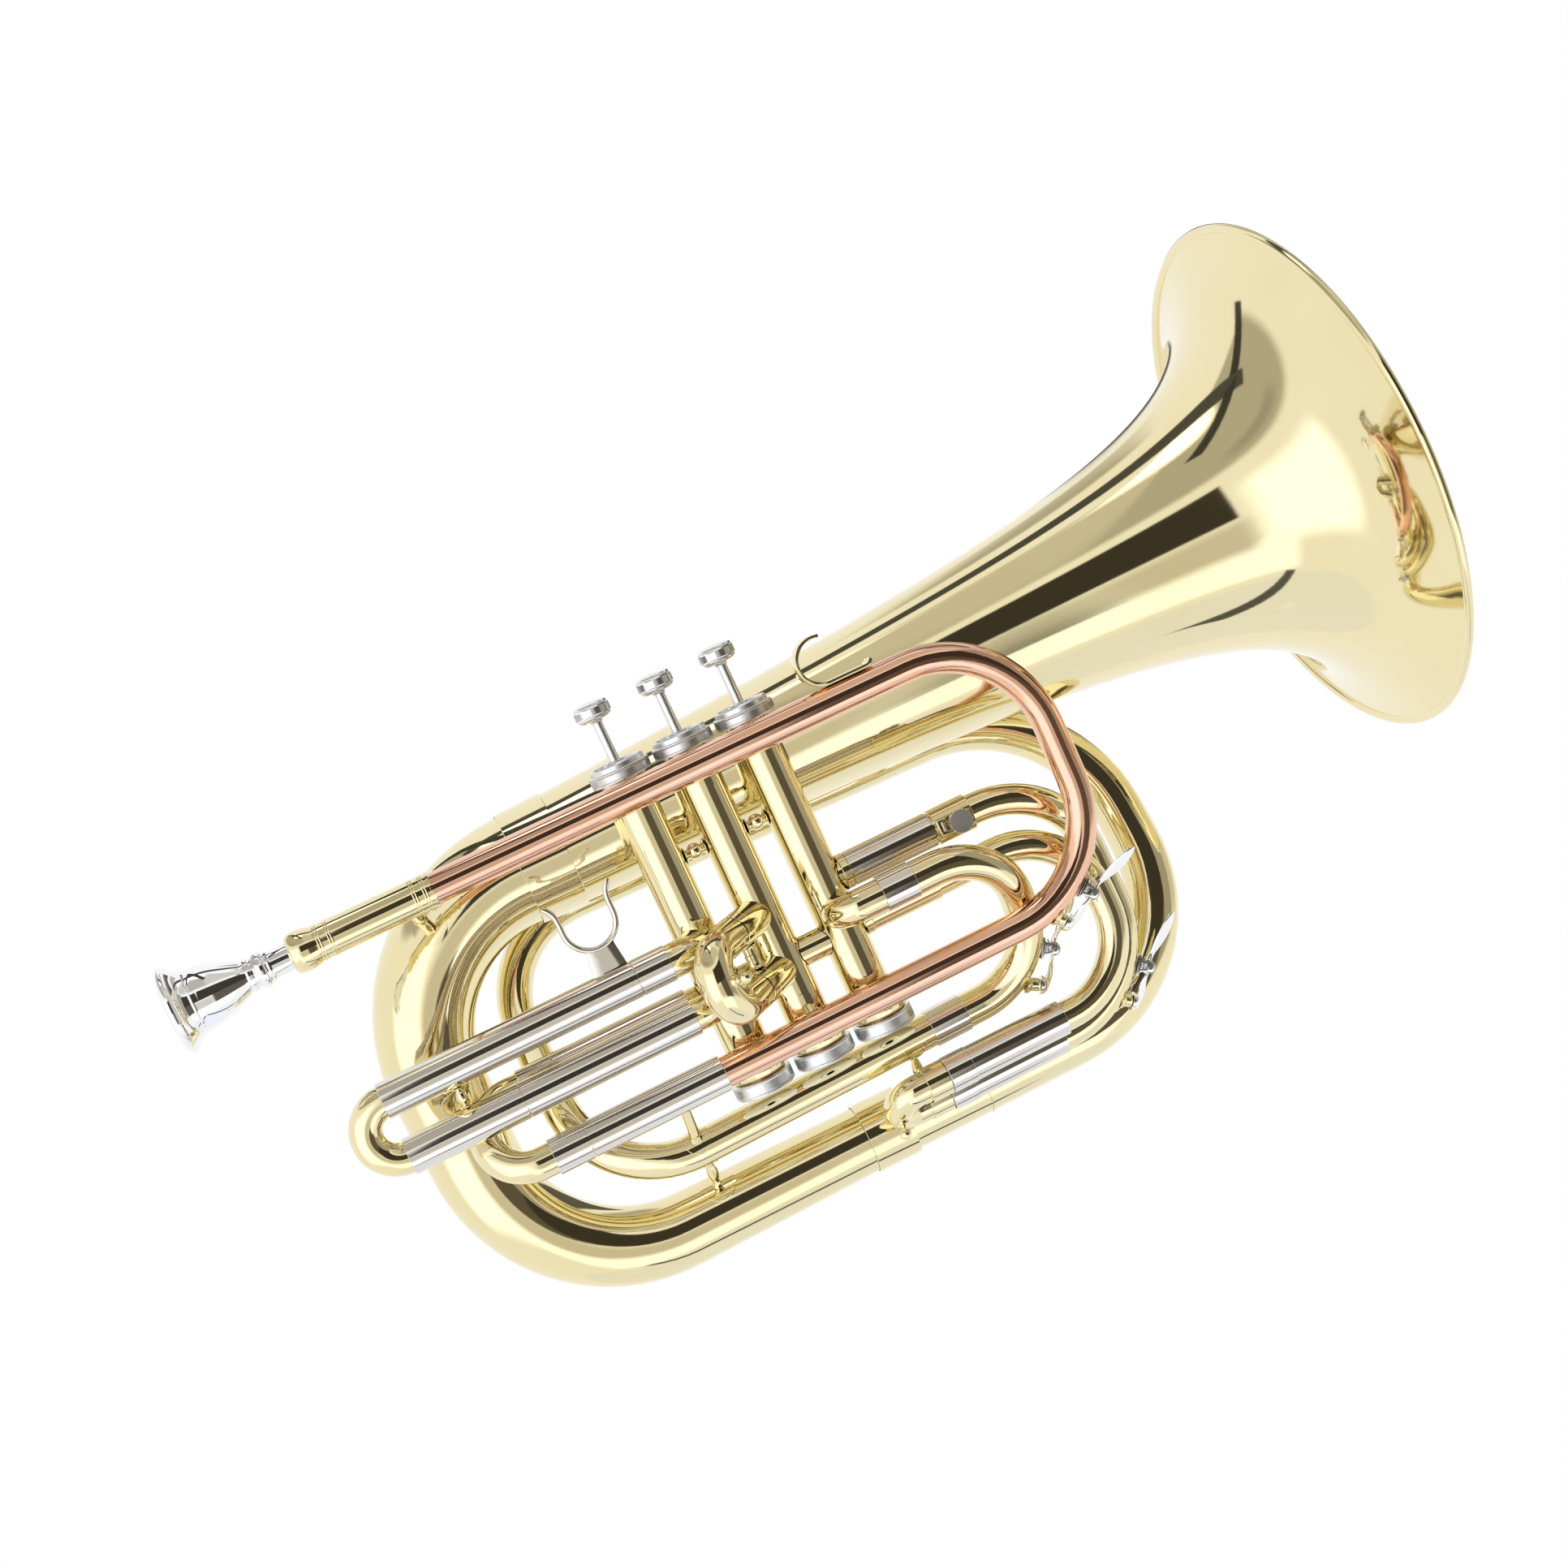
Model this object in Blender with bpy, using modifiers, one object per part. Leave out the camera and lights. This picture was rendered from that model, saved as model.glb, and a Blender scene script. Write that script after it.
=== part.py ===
# Marching baritone horn with three piston valves, in metres, +Z up.
# The bell points along +X, the finger buttons point up, and the player's right side is -Y.
# The origin lies on the middle valve's axis, halfway up its casing.

import math

import bmesh
import bpy
from mathutils import Matrix, Vector

# Clearances between pieces that touch or run in each other
SEAT_GAP = 0.0003
SLIDE_CLEARANCE = 0.0004
PISTON_CLEARANCE = 0.0003
STEP_RAMP = 0.0003
TUBE_END_GAP = 0.0015

# Valve block
VALVE_SPACING = 0.0302
CASING_RADIUS = 0.0102
CASING_WALL = 0.0008
CASING_TOP = 0.0760
CASING_BOTTOM = -0.0760
COLLAR_RADIUS = 0.0126
COLLAR_HEIGHT = 0.0072
CAP_RADIUS = 0.0140
CAP_OVERLAP = 0.0035
TOP_CAP_THICKNESS = 0.0042
BOTTOM_CAP_THICKNESS = 0.0038
BOTTOM_VENT_RADIUS = 0.0022
PISTON_TOP = 0.0570
PISTON_LENGTH = 0.0920
PISTON_WALL = 0.0010
STEM_RADIUS = 0.0021
STEM_CLEARANCE = 0.0005
VALVE_TRAVEL = 0.0172
BUTTON_LIFT = 0.0185
BUTTON_RADIUS = 0.0084
BUTTON_HEIGHT = 0.0100
SPRING_RADIUS = 0.0062
SPRING_WIRE = 0.0006
SPRING_TURNS = 5
LINK_RADIUS = 0.0070
LINK_Z = -0.0315
BALL_BRACE_Z = 0.0300
BALL_RADIUS = 0.0037
BALL_STEM_RADIUS = 0.0022

# Cylindrical tubing
TUBE_RADIUS = 0.0072
TUBE_WALL = 0.0006
LEAD_RADIUS = 0.0070
LEAD_GAP = 0.0013
LEAD_TOP_Z = 0.0655
LEAD_LOW_Z = -0.0607
LEAD_RIGHT_X = 0.1499
LEAD_BOW_RADIUS = 0.0500
LEAD_LEFT_X = -0.1365
LEAD_OVERLAP = 0.0060

# Mouthpiece and receiver
RIM_X = -0.2425
RIM_RADIUS = 0.0193
CUP_RADIUS = 0.0128
CUP_DEPTH = 0.0230
THROAT_RADIUS = 0.0033
SHANK_RADIUS = 0.0061
SHANK_END_RADIUS = 0.0054
MOUTHPIECE_LENGTH = 0.0820
RECEIVER_LEFT_X = -0.1895
RECEIVER_RIGHT_X = -0.1245
RECEIVER_RADIUS = 0.0079

# Main tuning slide
TUNING_OUTER_LEFT_X = -0.1104
TUNING_OUTER_RIGHT_X = -0.0457
TUNING_FERRULE_LENGTH = 0.0164
TUNING_BOW_X = -0.1507
RETURN_Y = 0.0030
RETURN_Z = -0.0315

# First valve slide
SLIDE_1_Y = -0.0182
SLIDE_1_UPPER_Z = -0.0068
SLIDE_1_LOWER_Z = -0.0330
SLIDE_1_BOW_X = -0.1942
SLIDE_1_FERRULE_X = -0.1815
SLIDE_1_UPPER_SEAM_X = -0.0627
SLIDE_1_LOWER_SEAM_X = -0.1278
SLIDE_1_RIGHT_X = -0.0470
SLIDE_1_INNER_LEFT_X = -0.1640
SLIDE_1_LEG_GAP = 0.0070
SLIDE_1_KNUCKLE_X = -0.0405
SLIDE_1_KNUCKLE_RADIUS = 0.0090
SADDLE_X = -0.0715
SADDLE_PLATE_LENGTH = 0.0120
SADDLE_PLATE_HEIGHT = 0.0120
SADDLE_PLATE_THICKNESS = 0.0020
SADDLE_ROD_RADIUS = 0.0014
SADDLE_RING_RADIUS = 0.0115
SADDLE_HEIGHT = 0.0240
SLIDE_1_BRACE_X = -0.1511

# Second valve slide
SLIDE_2_UPPER_Z = -0.0086
SLIDE_2_LOWER_Z = -0.0345
SLIDE_2_ANGLE = 54.6
SLIDE_2_SEAM = 0.0320
SLIDE_2_BOW = 0.0550
SLIDE_2_INNER_START = 0.0150
SLIDE_2_BRACE = 0.0235
KNOB_RADIUS = 0.0030
KNOB_STEM_RADIUS = 0.0012
KNOB_REACH = 0.0075

# Third valve slide
SLIDE_3_UPPER_Z = -0.0072
SLIDE_3_LOWER_Z = -0.0300
SLIDE_3_LOWER_Y = 0.0025
SLIDE_3_PORT_X = 0.0440
SLIDE_3_PORT_END_X = 0.0854
SLIDE_3_OUTER_X = 0.1535
SLIDE_3_OUTER_UPPER_RADIUS = 0.0460
SLIDE_3_OUTER_LOWER_RADIUS = 0.0455
SLIDE_3_INNER_X = 0.1455
SLIDE_3_INNER_RADIUS = 0.0370
SLIDE_3_FRONT_Y = -0.0035
SLIDE_3_FRONT_Z = -0.1105
SLIDE_3_BACK_Y = 0.0125
SLIDE_3_BACK_Z = -0.1225
SLIDE_3_LEG_RIGHT_X = 0.1050
SLIDE_3_LEG_OVERLAP = 0.0060
SLIDE_3_SEAM_X = 0.0455
SLIDE_3_FERRULE_LENGTH = 0.0105
SLIDE_3_BOW_X = 0.0207
LYRE_LEFT_X = 0.0862
LYRE_LENGTH = 0.0185
LYRE_DEPTH = 0.0085
LYRE_HEIGHT = 0.0134
LYRE_SOCKET_DEPTH = 0.0046
LYRE_SOCKET_HEIGHT = 0.0088
LYRE_SCREW_RADIUS = 0.0056
LYRE_SCREW_THICKNESS = 0.0030
LYRE_SHAFT_RADIUS = 0.0016
LYRE_SCREW_LIFT = 0.0009

# Exit elbow, J bow and inner branch
EXIT_Y = -0.0180
EXIT_Z = -0.0210
EXIT_RADIUS = 0.0075
EXIT_BEND = 0.0100
EXIT_END_X = 0.0600
SOCKET_LENGTH = 0.0160
J_START_X = 0.0495
J_BOW_X = 0.1080
J_BOW_RADIUS = 0.0330
J_END_X = 0.0500
J_END_RADIUS = 0.0079
BRANCH_RADIUS = 0.0081
BRANCH_END_RADIUS = 0.0086
BRANCH_START_X = 0.0600
BRANCH_LOW_Y = 0.0110
BRANCH_LOW_Z = -0.0913
BRANCH_LEFT_X = -0.1158
BRANCH_LEFT_Z = -0.0945
BRANCH_LEFT_Y = 0.0140
BRANCH_BEND = 0.0470
BRANCH_TOP_LEFT_Y = 0.0695
BRANCH_TOP_Z = 0.0260
BRANCH_END_X = 0.0300
BRANCH_END_Y = 0.0757
BRANCH_END_Z = 0.0231

# Conical tubing and bell
FRONT_BOW_START_X = 0.0180
FRONT_BOW_START_RADIUS = 0.0092
FRONT_BOW_END_RADIUS = 0.0152
FRONT_BOW_X = 0.1880
FRONT_BOW_BEND = 0.0720
FRONT_BOW_LOW_Y = 0.0370
FRONT_BOW_LOW_Z = -0.1330
BOTTOM_JOINT_X = 0.0150
BOTTOM_JOINT_Y = 0.0360
BOTTOM_JOINT_Z = -0.1305
BOTTOM_FERRULE_LENGTH = 0.0215
BACK_BOW_START_RADIUS = 0.0156
BACK_BOW_MID_RADIUS = 0.0172
BACK_BOW_END_RADIUS = 0.0262
BACK_BOW_X = -0.1600
BACK_BOW_BEND = 0.0730
BACK_BOW_LOW_Y = 0.0360
BACK_BOW_LOW_Z = -0.1300
BELL_Y = 0.0450
TAIL_JOINT_X = -0.0755
TAIL_JOINT_Z = 0.0518
TAIL_FERRULE_LENGTH = 0.0225
BELL_RISE = 1.2
BELL_LENGTH = 0.4070
BELL_RIM_RADIUS = 0.1280
BELL_FLARE_OFFSET = 0.0195
BELL_TAIL_RADIUS = 0.0264
BELL_WALL = 0.0009
BELL_BEAD_RADIUS = 0.0019
FERRULE_WALL = 0.0007

# Braces, hook and water keys
BRACE_RADIUS = 0.0023
BRACE_FLANGE_RADIUS = 0.0058
BRACE_FLANGE_THICKNESS = 0.0009
RECEIVER_BRACE_X = -0.1380
RECEIVER_BRACE_FOOT_X = -0.1310
TUNING_STRUT_X = -0.0675
BALUSTER_X = -0.0665
POST_X = 0.0386
HOOK_X = 0.0670
HOOK_RADIUS = 0.0105
HOOK_FOOT_LENGTH = 0.0190
HOOK_WIDTH = 0.0095
HOOK_THICKNESS = 0.0018
KEY_PIVOT_HEIGHT = 0.0062
KEY_WIDTH = 0.0042
KEY_THICKNESS = 0.0018
KEY_PIN_RADIUS = 0.0011
KEY_TIP_LENGTH = 0.0250
KEY_CUP_LENGTH = 0.0170
KEY_CUP_RADIUS = 0.0042
KEY_CUP_HEIGHT = 0.0032
KEY_EAR_WIDTH = 0.0062
KEY_EAR_THICKNESS = 0.0012
KEY_1_ANGLE = -54.0
KEY_2_ANGLE = -36.0
KEY_3_ANGLE = -30.0

# Fineness of the round forms
TUBE_BEVEL = 3
WIDE_BEVEL = 5
LEAST_STEP = 0.0010
ARC_STEP = math.radians(30.0)
WIDE_ARC_STEP = math.radians(22.5)
KEY_ARC_STEP = math.radians(18.0)
TURN_STEPS = 16
BELL_STEPS = 28
SMALL_STEPS = 10

# Values that follow from the sizes above
TUBE_SIDES = 4 + 2 * TUBE_BEVEL
SLEEVE_RADIUS = TUBE_RADIUS + SLIDE_CLEARANCE + TUBE_WALL
LEAD_Y = -(CASING_RADIUS + LEAD_RADIUS + LEAD_GAP)
CASING_BORE = CASING_RADIUS - CASING_WALL
PISTON_RADIUS = CASING_BORE - PISTON_CLEARANCE
TOP_CAP_TOP = CASING_TOP + SEAT_GAP + TOP_CAP_THICKNESS
BOTTOM_CAP_BOTTOM = CASING_BOTTOM - SEAT_GAP - BOTTOM_CAP_THICKNESS
BUTTON_BOTTOM = TOP_CAP_TOP + BUTTON_LIFT
VALVE_X = [-VALVE_SPACING, 0.0, VALVE_SPACING]

LACQUERED_BRASS = ("lacquered_brass", (0.80, 0.60, 0.22), 0.16, 1.0)
ROSE_BRASS = ("rose_brass", (0.78, 0.42, 0.28), 0.16, 1.0)
NICKEL_SILVER = ("nickel_silver", (0.72, 0.70, 0.66), 0.18, 1.0)
SILVER_PLATE = ("silver_plate", (0.86, 0.86, 0.86), 0.12, 1.0)
KNURLED_NICKEL = ("knurled_nickel", (0.66, 0.65, 0.64), 0.38, 1.0)
SPRING_STEEL = ("spring_steel", (0.45, 0.45, 0.46), 0.35, 1.0)

UP = Vector((0.0, 0.0, 1.0))
ALONG_X = Vector((1.0, 0.0, 0.0))
TOWARDS_PLAYER = Vector((-1.0, 0.0, 0.0))
ACROSS = Vector((0.0, 1.0, 0.0))


# Scene, materials and collections

def clear_scene():
    for item in list(bpy.data.objects):
        bpy.data.objects.remove(item, do_unlink=True)


def make_collection(name):
    group = bpy.data.collections.new(name)
    bpy.context.scene.collection.children.link(group)
    return group


def material(finish):
    name, colour, roughness, metallic = finish
    found = bpy.data.materials.get(name)
    if found:
        return found
    made = bpy.data.materials.new(name)
    made.use_nodes = True
    shader = made.node_tree.nodes["Principled BSDF"]
    shader.inputs["Base Color"].default_value = (*colour, 1.0)
    shader.inputs["Roughness"].default_value = roughness
    shader.inputs["Metallic"].default_value = metallic
    return made


clear_scene()
PARTS = make_collection("marching_baritone")
CUTTERS = make_collection("cutters")


def add_piece(name, data, finish):
    piece = bpy.data.objects.new(name, data)
    PARTS.objects.link(piece)
    if finish:
        data.materials.append(material(finish))
    return piece


def as_cutter(piece):
    for group in list(piece.users_collection):
        group.objects.unlink(piece)
    CUTTERS.objects.link(piece)
    piece.hide_render = True
    piece.display_type = "WIRE"
    return piece


# Paths through space

def bend_points(before, corner, after, radius, step):
    back = (before - corner).normalized()
    ahead = (after - corner).normalized()
    turn = math.pi - back.angle(ahead)
    reach = radius * math.tan(turn / 2)
    centre = corner + (back + ahead).normalized() * (radius / math.cos(turn / 2))
    spoke = corner + back * reach - centre
    axis = back.cross(ahead).normalized()
    count = max(2, math.ceil(turn / step))
    return [centre + Matrix.Rotation(-turn * i / count, 3, axis) @ spoke for i in range(count + 1)]


def route(corners, radii, step=ARC_STEP):
    """Straight runs between the corners, each inner corner rounded to its radius."""
    points = [corners[0].copy()]
    for i, radius in enumerate(radii):
        points += bend_points(corners[i], corners[i + 1], corners[i + 2], radius, step)
    points.append(corners[-1].copy())
    kept = points[:1]
    for point in points[1:]:
        if (point - kept[-1]).length > LEAST_STEP:
            kept.append(point)
    return kept


def lengths_along(points):
    total = [0.0]
    for first, second in zip(points, points[1:]):
        total.append(total[-1] + (second - first).length)
    return total


def point_at(points, marks, length):
    for i in range(len(points) - 1):
        if length <= marks[i + 1] or i == len(points) - 2:
            share = (length - marks[i]) / (marks[i + 1] - marks[i])
            return points[i].lerp(points[i + 1], share)
    return points[-1].copy()


def stepped(points, start_radius, end_radius, sleeves=()):
    """Points and radii of a tapering tube that is wider along each sleeve (from, to, radius)."""
    marks = lengths_along(points)
    full = marks[-1]
    keys = {round(mark, 7) for mark in marks}
    for first, last, _ in sleeves:
        if first > 0:
            keys |= {round(first, 7), round(first + STEP_RAMP, 7)}
        if last < full:
            keys |= {round(last - STEP_RAMP, 7), round(last, 7)}
    placed = []
    radii = []
    for key in sorted(keys):
        radius = start_radius + (end_radius - start_radius) * key / full
        for first, last, wide in sleeves:
            past_first = key > first + STEP_RAMP / 2 or first <= 0
            before_last = key < last - STEP_RAMP / 2 or last >= full
            if past_first and before_last:
                radius = wide
        placed.append(point_at(points, marks, key))
        radii.append(radius)
    return placed, radii


# Tubes, turned forms and flat outlines

def rod_curve(name, points, radii, bevel, closed_ends, finish):
    data = bpy.data.curves.new(name, "CURVE")
    data.dimensions = "3D"
    data.bevel_depth = 1.0
    data.bevel_resolution = bevel
    data.use_fill_caps = closed_ends
    line = data.splines.new("POLY")
    line.points.add(len(points) - 1)
    for target, place, radius in zip(line.points, points, radii):
        target.co = (*place, 1.0)
        target.radius = radius
    return add_piece(name, data, finish)


def tube(name, points, radii, finish, wall=TUBE_WALL, bevel=TUBE_BEVEL):
    piece = rod_curve(name, points, radii, bevel, False, finish)
    shell = piece.modifiers.new("wall", "SOLIDIFY")
    shell.thickness = wall
    shell.offset = -1.0
    return piece


def to_mesh(piece, finish):
    """Replace a curve object by the mesh that it evaluates to, with its caps welded."""
    bpy.context.view_layer.update()
    graph = bpy.context.evaluated_depsgraph_get()
    data = bpy.data.meshes.new_from_object(piece.evaluated_get(graph))
    weld = bmesh.new()
    weld.from_mesh(data)
    bmesh.ops.remove_doubles(weld, verts=weld.verts, dist=1e-6)
    weld.to_mesh(data)
    weld.free()
    data.materials.clear()
    name = piece.name
    place = piece.matrix_world.copy()
    bpy.data.objects.remove(piece, do_unlink=True)
    made = add_piece(name, data, finish)
    made.name = name
    made.matrix_world = place
    return made


def place_along(piece, centre, direction):
    piece.location = centre
    piece.rotation_mode = "QUATERNION"
    piece.rotation_quaternion = direction.to_track_quat("Z", "Y")


def turned(name, profile, centre, direction, finish, steps=TURN_STEPS, ring=False):
    """A profile of (radius, height) turned about its height, which points along direction."""
    data = bpy.data.meshes.new(name)
    corners = [(radius, 0.0, height) for radius, height in profile]
    edges = [(i, i + 1) for i in range(len(corners) - 1)]
    if ring:
        edges.append((len(corners) - 1, 0))
    data.from_pydata(corners, edges, [])
    piece = add_piece(name, data, finish)
    spin = piece.modifiers.new("turn", "SCREW")
    spin.steps = steps
    spin.render_steps = steps
    spin.use_merge_vertices = True
    spin.merge_threshold = 0.00001
    place_along(piece, centre, direction)
    return piece


def cylinder(name, radius, start, end, finish=None, sides=24):
    run = end - start
    bpy.ops.mesh.primitive_cylinder_add(vertices=sides, radius=radius, depth=run.length)
    piece = bpy.context.active_object
    piece.name = name
    piece.data.name = name
    for group in list(piece.users_collection):
        group.objects.unlink(piece)
    PARTS.objects.link(piece)
    if finish:
        piece.data.materials.append(material(finish))
    place_along(piece, (start + end) / 2, run.normalized())
    return piece


def box(name, low, high, finish=None):
    bpy.ops.mesh.primitive_cube_add(size=1.0)
    piece = bpy.context.active_object
    piece.name = name
    piece.data.name = name
    for group in list(piece.users_collection):
        group.objects.unlink(piece)
    PARTS.objects.link(piece)
    if finish:
        piece.data.materials.append(material(finish))
    span = high - low
    middle = (high + low) / 2
    for corner in piece.data.vertices:
        corner.co = (corner.co.x * span.x, corner.co.y * span.y, corner.co.z * span.z)
    piece.location = middle
    return piece


def flat_outline(name, loops, width, place, finish):
    """A flat outline, with holes after the first loop, made solid to the given width."""
    data = bpy.data.curves.new(name, "CURVE")
    data.dimensions = "2D"
    data.fill_mode = "BOTH"
    data.extrude = width / 2
    for loop in loops:
        line = data.splines.new("POLY")
        line.points.add(len(loop) - 1)
        for target, (across, up) in zip(line.points, loop):
            target.co = (across, up, 0.0, 1.0)
        line.use_cyclic_u = True
    piece = add_piece(name, data, None)
    piece.matrix_world = place
    return to_mesh(piece, finish)


def strip_loop(centre_line, thickness):
    """The outline of a bent strip of even thickness along a flat centre line."""
    left = []
    right = []
    for i, here in enumerate(centre_line):
        before = centre_line[max(i - 1, 0)]
        after = centre_line[min(i + 1, len(centre_line) - 1)]
        run = (after - before).normalized()
        side = Vector((-run.y, run.x)) * (thickness / 2)
        left.append(here + side)
        right.append(here - side)
    return [tuple(point) for point in left + right[::-1]]


def circle_loop(centre, radius, count=12):
    return [(centre[0] + radius * math.cos(math.tau * i / count),
             centre[1] + radius * math.sin(math.tau * i / count)) for i in range(count)]


def boolean(piece, other, operation, solver="EXACT"):
    step = piece.modifiers.new(operation.lower(), "BOOLEAN")
    step.operation = operation
    step.object = other
    step.solver = solver
    as_cutter(other)


def cut(piece, other):
    boolean(piece, other, "DIFFERENCE")


def join(piece, other, solver="EXACT"):
    boolean(piece, other, "UNION", solver)


def weld_radius(radius):
    """Where a piece fused to a tube starts: inside its wall, also at the middle of a facet."""
    return radius * math.cos(math.pi / TUBE_SIDES) - TUBE_WALL / 2


def casing_cutter(name, valve_x):
    reach = CASING_TOP - CASING_BOTTOM
    return cylinder(name, CASING_RADIUS + SEAT_GAP, Vector((valve_x, 0, -reach / 2)),
                    Vector((valve_x, 0, reach / 2)), sides=32)


# Valves

def casing_profile():
    collar_top = CASING_BOTTOM + CAP_OVERLAP + SEAT_GAP + COLLAR_HEIGHT
    collar_bottom = CASING_BOTTOM + CAP_OVERLAP + SEAT_GAP
    return [(CASING_RADIUS, CASING_TOP), (CASING_RADIUS, collar_top), (COLLAR_RADIUS, collar_top - 0.0008),
            (COLLAR_RADIUS, collar_bottom), (CASING_RADIUS, collar_bottom), (CASING_RADIUS, CASING_BOTTOM),
            (CASING_BORE, CASING_BOTTOM), (CASING_BORE, CASING_TOP)]


def top_cap_profile():
    skirt = CASING_RADIUS + SEAT_GAP
    bottom = CASING_TOP - CAP_OVERLAP
    ceiling = CASING_TOP + SEAT_GAP
    bore = STEM_RADIUS + STEM_CLEARANCE
    chamfer = TOP_CAP_THICKNESS * 0.3
    return [(bore, TOP_CAP_TOP), (CAP_RADIUS * 0.84, TOP_CAP_TOP), (CAP_RADIUS * 0.9, TOP_CAP_TOP - chamfer),
            (CAP_RADIUS, TOP_CAP_TOP - chamfer * 1.3), (CAP_RADIUS, bottom), (skirt, bottom),
            (skirt, ceiling), (bore, ceiling)]


def bottom_cap_profile():
    skirt = CASING_RADIUS + SEAT_GAP
    top = CASING_BOTTOM + CAP_OVERLAP
    floor = CASING_BOTTOM - SEAT_GAP
    chamfer = BOTTOM_CAP_THICKNESS * 0.25
    return [(skirt, top), (CAP_RADIUS, top), (CAP_RADIUS, BOTTOM_CAP_BOTTOM + chamfer),
            (CAP_RADIUS - chamfer, BOTTOM_CAP_BOTTOM), (BOTTOM_VENT_RADIUS, BOTTOM_CAP_BOTTOM),
            (BOTTOM_VENT_RADIUS, floor), (skirt, floor)]


def piston_profile():
    bottom = PISTON_TOP - PISTON_LENGTH
    bore = PISTON_RADIUS - PISTON_WALL
    stem_top = BUTTON_BOTTOM + BUTTON_HEIGHT * 0.4
    return [(0.0, stem_top), (STEM_RADIUS, stem_top), (STEM_RADIUS, PISTON_TOP), (PISTON_RADIUS, PISTON_TOP),
            (PISTON_RADIUS, bottom), (bore, bottom), (bore, PISTON_TOP - PISTON_WALL * 2),
            (0.0, PISTON_TOP - PISTON_WALL * 2)]


def button_profile():
    top = BUTTON_BOTTOM + BUTTON_HEIGHT
    socket = BUTTON_BOTTOM + BUTTON_HEIGHT * 0.4 + SEAT_GAP
    bore = STEM_RADIUS + SEAT_GAP
    neck = STEM_RADIUS + 0.0016
    return [(0.0, top), (BUTTON_RADIUS * 0.8, top - 0.0002), (BUTTON_RADIUS, top - 0.0016),
            (BUTTON_RADIUS, top - 0.0052), (BUTTON_RADIUS * 0.8, top - 0.0066), (neck, BUTTON_BOTTOM + 0.0006),
            (neck, BUTTON_BOTTOM), (bore, BUTTON_BOTTOM), (bore, socket), (0.0, socket)]


def spring_points():
    bottom = CASING_BOTTOM + SPRING_WIRE
    top = PISTON_TOP - PISTON_LENGTH - SPRING_WIRE - SEAT_GAP
    per_turn = 7
    count = SPRING_TURNS * per_turn
    return [Vector((SPRING_RADIUS * math.cos(math.tau * i / per_turn),
                    SPRING_RADIUS * math.sin(math.tau * i / per_turn),
                    bottom + (top - bottom) * i / count)) for i in range(count + 1)]


def piston_ports(number, valve_x):
    """Cross bores through the piston wall that line up with the casing's tubes when pressed."""
    for side, height in enumerate((LINK_Z + VALVE_TRAVEL, SLIDE_1_UPPER_Z + VALVE_TRAVEL)):
        reach = Vector((PISTON_RADIUS * 1.5, 0, 0))
        middle = Vector((valve_x, 0, height))
        yield cylinder(f"piston_{number}_port_{side}", TUBE_RADIUS - TUBE_WALL, middle - reach,
                       middle + reach, sides=12)


def build_valves():
    for i, valve_x in enumerate(VALVE_X):
        number = i + 1
        axis = Vector((valve_x, 0.0, 0.0))
        turned(f"valve_{number}_casing", casing_profile(), axis, UP, LACQUERED_BRASS, ring=True)
        turned(f"valve_{number}_top_cap", top_cap_profile(), axis, UP, KNURLED_NICKEL, ring=True)
        turned(f"valve_{number}_bottom_cap", bottom_cap_profile(), axis, UP, KNURLED_NICKEL, ring=True)
        piston = turned(f"valve_{number}_piston", piston_profile(), axis, UP, SILVER_PLATE)
        for port in piston_ports(number, valve_x):
            cut(piston, port)
        turned(f"valve_{number}_button", button_profile(), axis, UP, SILVER_PLATE, steps=SMALL_STEPS)
        coil = spring_points()
        spring = rod_curve(f"valve_{number}_spring", coil, [SPRING_WIRE] * len(coil), 1, True, SPRING_STEEL)
        spring.location = axis


def ball_brace_profile(length):
    """A ball between two short stems, from the top end down to the bottom end."""
    half = length / 2
    stem = BALL_STEM_RADIUS
    flank = math.sqrt(BALL_RADIUS ** 2 - stem ** 2)
    arc = []
    low = math.asin(flank / BALL_RADIUS)
    for i in range(5):
        angle = low - 2 * low * i / 4
        arc.append((BALL_RADIUS * math.cos(angle), BALL_RADIUS * math.sin(angle)))
    return [(0.0, half), (stem, half)] + arc + [(stem, -half), (0.0, -half)]


def build_valve_links():
    """The wind passages and ball braces between neighbouring casings."""
    second = bpy.data.objects["valve_2_casing"]
    for i in range(2):
        left = VALVE_X[i]
        right = VALVE_X[i + 1]
        ends = [Vector((left, 0, LINK_Z)), Vector((right, 0, LINK_Z))]
        link = to_mesh(tube(f"valve_{i + 1}_{i + 2}_link", ends, [LINK_RADIUS] * 2, LACQUERED_BRASS),
                       LACQUERED_BRASS)
        for j, valve_x in enumerate((left, right)):
            cut(link, casing_cutter(f"link_{i}_cutter_{j}", valve_x))
        if i == 0:
            axis = UP * SLIDE_2_LOWER_Z
            cut(link, cylinder("link_knuckle_cutter", SLEEVE_RADIUS + SEAT_GAP, axis,
                               axis + slide_2_direction() * SLIDE_2_SEAM))
        clear = (VALVE_SPACING - 2 * CASING_RADIUS) / 2
        sink = CASING_WALL / 2
        towards = 1 if i else -1
        near = towards * (CASING_RADIUS - sink)
        far = towards * (CASING_RADIUS + 2 * clear - SEAT_GAP)
        length = abs(far - near)
        brace = turned(f"ball_brace_{i}", ball_brace_profile(length),
                       Vector(((near + far) / 2, 0, BALL_BRACE_Z)), ALONG_X, None, steps=SMALL_STEPS)
        join(second, brace)


# Mouthpiece and leadpipe

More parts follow.
